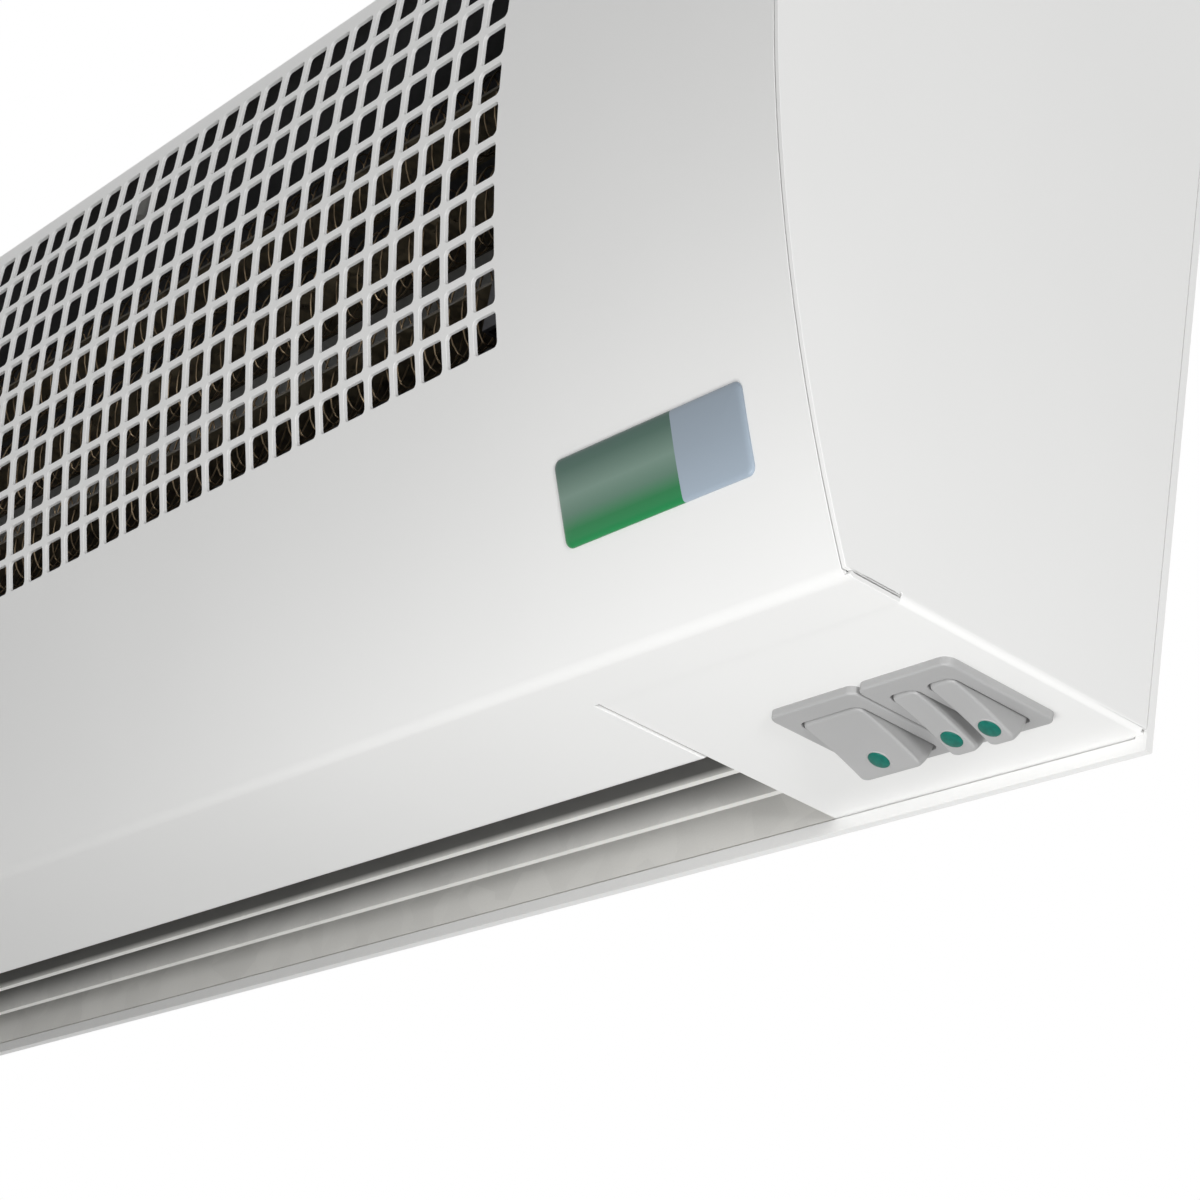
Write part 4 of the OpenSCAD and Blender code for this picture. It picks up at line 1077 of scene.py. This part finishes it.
def rocker_shell(s, w, x):
    """Skin of a rocker: its outline carried along X.

    Towards the flanks quarter circles draw the outline in: z by round_off along the outline's
    normals, and y in proportion, so that the ends draw in by the larger corner radius.
    """
    outline = rocker_profile(s)
    up = inward(outline)[:, 1]
    a = np.linspace(0, np.pi / 2, 7)
    d = np.unique(np.concatenate([s.corner * (1 - np.sin(a)), s.round_off * (1 - np.sin(a))]))
    across = np.concatenate([d - w / 2, (w / 2 - d)[::-1]])
    d = np.concatenate([d, d[::-1]])
    y = outline[:, 0] * (1 - quarter_in(s.corner, d) / s.rocker_r)[:, None]
    z = outline[:, 1] + quarter_in(s.round_off, d)[:, None] * up
    rings = np.stack([y, z], axis=-1)
    full = np.concatenate(
        [np.broadcast_to(across[:, None, None], rings.shape[:2] + (1,)), rings], axis=2
    )
    points, faces = skin(full, closed=False)
    # A flank: quads between the face's points 0 to 24 and the back's 66 down to 42, and a
    # convex face over the rounded points at each end
    i, n = np.arange(24), len(outline)
    near = [np.column_stack([i, i + 1, 65 - i, 66 - i]), np.arange(24, 43)[None]]
    near.append(np.append(np.arange(66, n), 0)[None])
    faces += [f + len(points) - n for f in near] + [f[:, ::-1] for f in near]
    return tilted(s, points, x), faces


def lens_frame(s):
    """Place of a lens on its rocker: middle (y, z) and slope of the hollow face there."""
    edge_y, _, face_r, centre = hollow_face(s)
    y = edge_y - s.lens_in
    return y, centre + math.sqrt(face_r**2 - y**2), math.asin(y / face_r)


def turned(s, profile, x, steps=40):
    """Shell of revolution: profile (radius, height out of the face) turned about the lens axis."""
    y, z, slope = lens_frame(s)
    angle = np.linspace(0, 2 * np.pi, steps, endpoint=False)
    r, h = np.array(profile).T
    rings = np.stack(
        [
            r[:, None] * np.cos(angle),
            r[:, None] * np.sin(angle),
            np.broadcast_to(-h[:, None], (len(r), steps)),
        ],
        axis=-1,
    )
    points, faces = skin(rings)
    turn = np.array(Matrix.Rotation(-slope, 3, "X"))
    return tilted(s, points @ turn.T + np.array([0, y, z]), x), faces


def bezel_shell(s, x, window_w):
    """Skin of a bezel with its body, as rings: the body's back, the face's edge, the well.

    A row is a rounded rectangle's width, length and corner radius, its z and its middle's y.
    """
    face = s.plate_z - s.bezel_t
    a = np.linspace(0, np.pi / 2, 7)
    window_l = 2 * (s.rocker_r + s.clear)
    corner = s.corner + s.clear
    body = (s.body_w, s.body_l, s.body_r)
    rows = [(*body, s.plate_z + s.body_h, s.middle_y), (*body, s.plate_z, s.middle_y)]
    rows += [(s.bezel_w, s.bezel_l, s.bezel_r, s.plate_z, s.middle_y)]
    for inset, up in s.bezel_edge * np.column_stack([1 - np.cos(a), 1 - np.sin(a)]):
        size = (s.bezel_w - 2 * inset, s.bezel_l - 2 * inset, s.bezel_r - inset)
        rows.append((*size, face + up, s.middle_y))
    for out, up in s.window_edge * np.array([[1, 0], [0.28, 0.28], [0, 1]]):
        size = (window_w + 2 * out, window_l + 2 * out, corner + out)
        rows.append((*size, face + up, s.pivot_y))
    rows.append((window_w, window_l, corner, s.pivot_z + s.well_h, s.pivot_y))
    rings = []
    for w, l, radius, z, y in rows:
        ring = rounded_ring(w, l, radius, 9)[::-1] + np.array([x, y])
        rings.append(np.column_stack([ring, np.full(len(ring), z)]))
    return skin(np.stack(rings))


def bar_shell(s, x, w):
    """Web between two rockers, carried up from the bezel's face; it flares round their corners."""
    face = s.plate_z - s.bezel_t
    half_l, corner = s.rocker_r + s.clear, s.corner + s.clear
    a = np.linspace(0, np.pi / 2, 9)
    near = np.concatenate([[-s.clear], corner * (1 - np.sin(a[::-1]))])
    y = np.concatenate([near - half_l, (half_l - near)[::-1]])
    flare = quarter_in(corner, np.concatenate([near, near[::-1]]))
    rings = []
    top = s.pivot_z + s.well_h
    for width, z in ((w - s.web_edge, face + s.web_low), (w, face + s.web_edge), (w, top)):
        half = width / 2 + flare
        ring = np.column_stack([np.concatenate([half, -half[::-1]]), np.concatenate([y, y[::-1]])])
        rings.append(np.column_stack([ring + [x, s.pivot_y], np.full(len(ring), z)]))
    return skin(np.stack(rings))


def ring_shell(s, profile, x, steps=40):
    """Closed ring: a profile loop turned about the lens axis."""
    points, faces = turned(s, [*profile, profile[0]], x, steps)
    count = len(profile) * steps
    merged = np.arange(len(points))
    merged[count:] = np.arange(steps)
    return points, [merged[faces[0]]]


# Profile of the rim round a lens in mm, as (out from the lens's edge, out of the face)
LENS_RIM = ((-0.1, -0.4), (0.45, -0.4), (0.45, 0.02), (0.25, 0.14), (0.02, 0.06), (-0.1, -0.2))


class MakeSwitches(bpy.types.Operator):
    """Mould the bezels, rockers and lenses of both switches"""

    bl_idname = "air_curtain.switches"
    bl_label = "Rocker switches"

    def execute(self, context):
        s = context.scene.ac_switch
        grey = bpy.data.materials["grey_abs"]
        teal = bpy.data.materials["tinted_lens"]
        wide = 2 * s.slim_dx + s.slim_w + 2 * s.clear
        web = 2 * s.slim_dx - s.slim_w - 2 * s.clear
        for name, shells in (
            ("single", [bezel_shell(s, s.single_x, s.wide_w + 2 * s.clear)]),
            ("double", [bezel_shell(s, s.double_x, wide), bar_shell(s, s.double_x, web)]),
        ):
            points, faces = joined(shells)
            made = add_piece(f"{name}_bezel", points, faces, grey, "casing")
            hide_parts(f"{name}_switch_body")
        rim = [(s.lens_r + MM * out, MM * up) for out, up in LENS_RIM]
        a = np.linspace(0, np.pi / 2, 9)[:-1]
        # The dome is half an ellipse up to a small flat, where it closes
        dome = [(s.lens_r, -s.lens_sunk)]
        dome += [(s.lens_r * math.cos(t), s.lens_t * math.sin(t)) for t in a]
        dome += [(s.lens_r * 0.06, s.lens_t)]
        for name, x, w in (
            ("wide", s.single_x, s.wide_w),
            ("left", s.double_x - s.slim_dx, s.slim_w),
            ("right", s.double_x + s.slim_dx, s.slim_w),
        ):
            points, faces = joined([rocker_shell(s, w, x), ring_shell(s, rim, x)])
            made = add_piece(f"{name}_rocker_shell", points, faces, grey, f"{name}_rocker")
            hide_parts(f"{name}_rocker")
            points, faces = turned(s, dome, x)
            made = add_piece(f"{name}_lens_dome", points, faces, teal, f"{name}_rocker")
            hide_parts(f"{name}_lens")
        return {"FINISHED"}


# ---- Badge ----

# How far the badge's rings lie in from its outline, in mm; the first is its lower edge
BADGE_RINGS = (0, 0, 0.03, 0.1, 0.22, 0.4, 0.65, 1.0, 1.6, 2.6, 4.2, 6.4, 8.9)


class MakeBadge(bpy.types.Operator):
    """Dome the blank badge over the curve of the front"""

    bl_idname = "air_curtain.badge"
    bl_label = "Badge"

    def execute(self, context):
        s, b = context.scene.ac_cover, context.scene.ac_badge
        marks = np.cumsum([0] + [run for run, _ in cover_runs(s)])
        middle = np.array([b.middle_x, marks[4] + b.above_crease])
        # A straight edge of 18 % of the thickness, a quarter ellipse of 68 % over the steep
        # edge's width, and a root of 14 % up to the middle
        inset = MM * np.array(BADGE_RINGS)
        rise = np.clip(inset / b.steep, 0, 1)
        height = b.thick * (0.18 + 0.68 * np.sqrt(1 - (1 - rise) ** 2))
        height += 0.14 * b.thick * np.sqrt(np.clip(inset / (b.height / 2), 0, 1))
        height[0] = 0.03 * MM
        rings, flats = [], []
        for d, h in zip(inset, height):
            corner = max(b.corner - d, 0.25 * MM)
            flat = rounded_ring(b.width - 2 * d, b.height - 2 * d, corner, 8)
            flats.append(flat)
            points, normal, _ = on_cover(s, flat + middle, 0.0)
            rings.append(points + h * normal)
        n = len(rings[0])
        # The last ring is so narrow that facing points of its long sides close it in quads
        points, faces = skin(np.stack(rings), closed=False)
        base = (len(rings) - 1) * n
        i = np.arange(n // 2 - 1)
        close = base + np.column_stack([i, i + 1, n - 2 - i, n - 1 - i])
        bottom = np.column_stack([n - 1 - i, n - 2 - i, i + 1, i])
        faces = [faces[0], close, bottom]
        fields = badge_print(b, context.scene.ac_colours)
        made = add_piece("badge_dome", points, faces, fields, "casing", sharp=60)
        share = np.concatenate(flats) / np.array([b.width, b.height]) + 0.5
        corner = np.zeros(len(made.data.loops), np.int32)
        made.data.loops.foreach_get("vertex_index", corner)
        layer = made.data.uv_layers.new(name="badge_share")
        layer.data.foreach_set("uv", share[corner].astype(np.float32).ravel())
        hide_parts("badge")
        return {"FINISHED"}


# ---- Finishes ----

FINISHES = {
    "white_enamel": "powder_coated_steel",
    "zinc_steel": "galvanised_steel",
    "dark_steel": "heat_stained_steel",
    "mica": "pressed_mica",
    "heating_ribbon": "heating_wire",
    "switch_grey": "grey_abs",
    "signal_lens": "tinted_lens",
}


class MakeFinishes(bpy.types.Operator):
    """Make the materials and give each carried-over piece its own"""

    bl_idname = "air_curtain.finishes"
    bl_label = "Finishes"

    def execute(self, context):
        c = context.scene.ac_colours
        powder_coat(c)
        inner_primer(c)
        # Painted shade: the duct and both guide blades darken with height into the outlet
        galvanised(c, "galvanised_steel", 12 * MM, 40 * MM, 0.4)
        blades = {
            "front_guide_blade": galvanised(c, "sooted_zinc", 4.3 * MM, 6 * MM, 0.2),
            "rear_guide_blade": galvanised(c, "darkened_zinc", 4.5 * MM, 15 * MM, 0.1),
        }
        stained_steel(c)
        mica_board(c)
        wire_metal(c)
        moulded("grey_abs", c.grey)
        lens_plastic(c)
        others = {
            "black_plastic": moulded("black_phenolic", linear("#232325"), 0.5),
            "black_rubber": moulded("black_rubber", linear("#1C1C1D"), 0.7, 1.0, 0.05),
            "fan_aluminium": plain_metal("rolled_aluminium", "#8F9092", 0.4),
            "brass": plain_metal("brass", "#C3A35A", 0.3),
            "winding": plain_metal("enamelled_copper", "#A3562E", 0.35, 0.6),
            "block_plastic": moulded("cream_nylon", linear("#D9D7CE"), 0.5),
        }
        top = coat_and_painted_shade(c)
        record = frame["record"]
        slots = {part["node"]: part["material_slot"] for part in record["subparts"]}
        for name, node in frame["nodes"].items():
            slot = slots[name]
            if name == "top_panel":
                chosen = top
            elif name in blades:
                chosen = blades[name]
            elif slot in FINISHES:
                chosen = bpy.data.materials[FINISHES[slot]]
            else:
                chosen = others.get(slot, others["block_plastic"])
            node.data.materials.clear()
            node.data.materials.append(chosen)
        return {"FINISHED"}


# ---- Stage ----

# Soft boxes: place, the point that each is aimed at, and watts
LAMPS = {
    "soft_box_below": ((0.432, -0.178, -0.4), (0.381, 0.4, -0.3), 1.16),
    "soft_box_right": ((2.2, -0.843, -0.4), (-0.4, -0.027, -0.283), 18.8),
}
# Directions of the photograph's right and up, from its vanishing points
VIEW_RIGHT = (0.62478, 0.76332, 0.16429)
VIEW_UP = (0.23851, -0.38693, 0.89073)


def background_rays(tree):
    """1 for rays from the camera, off a gloss or through a clear lens, and 0 for light."""
    path = add(tree, "LightPath")
    seen = path.outputs["Is Camera Ray"]
    for kind in ("Is Glossy Ray", "Is Transmission Ray"):
        either = {0: seen, 1: path.outputs[kind]}
        seen = add(tree, "Math", either, operation="MAXIMUM").outputs[0]
    return seen


class MakeStage(bpy.types.Operator):
    """Set the floor, the studio light and the camera"""

    bl_idname = "air_curtain.stage"
    bl_label = "Stage"

    def execute(self, context):
        scene = context.scene
        scene.view_settings.view_transform = "Standard"
        scene.world = bpy.data.worlds.new("studio")
        scene.world.use_nodes = True
        tree = scene.world.node_tree
        tree.nodes.clear()
        light, white = [
            add(tree, "Background", {"Color": (1, 1, 1, 1), "Strength": strength}).outputs[0]
            for strength in (scene.ac_stage.ambient, 1.0)
        ]
        mixed = add(tree, "MixShader", {0: background_rays(tree), 1: light, 2: white})
        add(tree, "OutputWorld", {"Surface": mixed.outputs[0]})
        self.floor(scene)
        self.lamps(scene)
        self.camera(scene)
        return {"FINISHED"}

    def floor(self, scene):
        """Pale disc under the object: screed with clouds 0.4 m across, paler as a background."""
        st, c = scene.ac_stage, scene.ac_colours
        angle = np.linspace(0, 2 * np.pi, 96, endpoint=False)
        ring = np.column_stack([np.cos(angle), np.sin(angle), np.zeros(96)])
        made, tree, shader, place = new_material("pale_floor", {"Roughness": 0.7})
        cloud = add(tree, "TexNoise", {"Vector": place, "Scale": 1 / 0.4}).outputs[0]
        glow = {0: background_rays(tree), 1: st.floor_glow}
        tint = add(tree, "ValToRGB", {"Fac": cloud}, tints(c.floor, 0.99, 1))
        surface = {
            "Base Color": tint.outputs[0],
            "Emission Color": (1, 1, 1, 1),
            "Emission Strength": add(tree, "Math", glow, operation="MULTIPLY").outputs[0],
        }
        fill(tree, shader, surface)
        mesh = bpy.data.meshes.new("floor")
        points = st.floor_r * ring + np.array([0, 0, st.floor_z])
        mesh.from_pydata(points.tolist(), [], [list(range(96))])
        mesh.materials.append(made)
        floor = bpy.data.objects.new("floor", mesh)
        scene.collection.objects.link(floor)

    def lamps(self, scene):
        """Square soft boxes, each turned to the point that it is aimed at."""
        for name, (place, aim, watts) in LAMPS.items():
            data = bpy.data.lights.new(name, "AREA")
            data.size = scene.ac_stage.lamp_size
            data.energy = watts
            lamp = bpy.data.objects.new(name, data)
            lamp.location = place
            way = Vector(aim) - Vector(place)
            lamp.rotation_euler = way.to_track_quat("-Z", "Y").to_euler()
            scene.collection.objects.link(lamp)

    def camera(self, scene):
        """Camera at the photograph's angle; its three axes are made square to each other."""
        st = scene.ac_stage
        data = bpy.data.cameras.new("camera")
        data.lens = st.lens
        data.sensor_width = st.sensor
        data.clip_start, data.clip_end = 0.02, 60.0
        camera = bpy.data.objects.new("camera", data)
        right = Vector(VIEW_RIGHT).normalized()
        back = right.cross(Vector(VIEW_UP)).normalized()
        turn = Matrix((right, back.cross(right), back)).transposed()
        camera.matrix_world = Matrix.Translation(st.camera) @ turn.to_4x4()
        scene.collection.objects.link(camera)
        scene.camera = camera


# ---- Add-on ----

GROUPS = {
    "ac_cover": CoverSizes,
    "ac_ends": EndSizes,
    "ac_grille": GrilleSizes,
    "ac_wire": WireSizes,
    "ac_switch": SwitchSizes,
    "ac_badge": BadgeSizes,
    "ac_colours": Colours,
    "ac_stage": StageSizes,
}
STEPS = (MakeStage, MakeFinishes, MakeCover, MakeEnds, MakeWires, MakeSwitches, MakeBadge)


class AirCurtainPanel(bpy.types.Panel):
    """Sizes, colours and the pieces' operators."""

    bl_idname = "VIEW3D_PT_air_curtain"
    bl_label = "Air curtain"
    bl_space_type = "VIEW_3D"
    bl_region_type = "UI"
    bl_category = "Air Curtain"

    def draw(self, context):
        for step in STEPS:
            self.layout.operator(step.bl_idname)
        for name in GROUPS:
            group = getattr(context.scene, name)
            box = self.layout.box()
            for key in type(group).__annotations__:
                box.prop(group, key)


def register():
    """Registers the properties, the operators and the panel."""
    for name, group in GROUPS.items():
        bpy.utils.register_class(group)
        setattr(bpy.types.Scene, name, PointerProperty(type=group))
    for step in (*STEPS, AirCurtainPanel):
        bpy.utils.register_class(step)


def unregister():
    """Takes them out again."""
    for step in reversed((*STEPS, AirCurtainPanel)):
        bpy.utils.unregister_class(step)
    for name, group in GROUPS.items():
        delattr(bpy.types.Scene, name)
        bpy.utils.unregister_class(group)


def main():
    register()
    for step in STEPS:
        group, name = step.bl_idname.split(".")
        getattr(getattr(bpy.ops, group), name)()


if __name__ == "__main__":
    main()
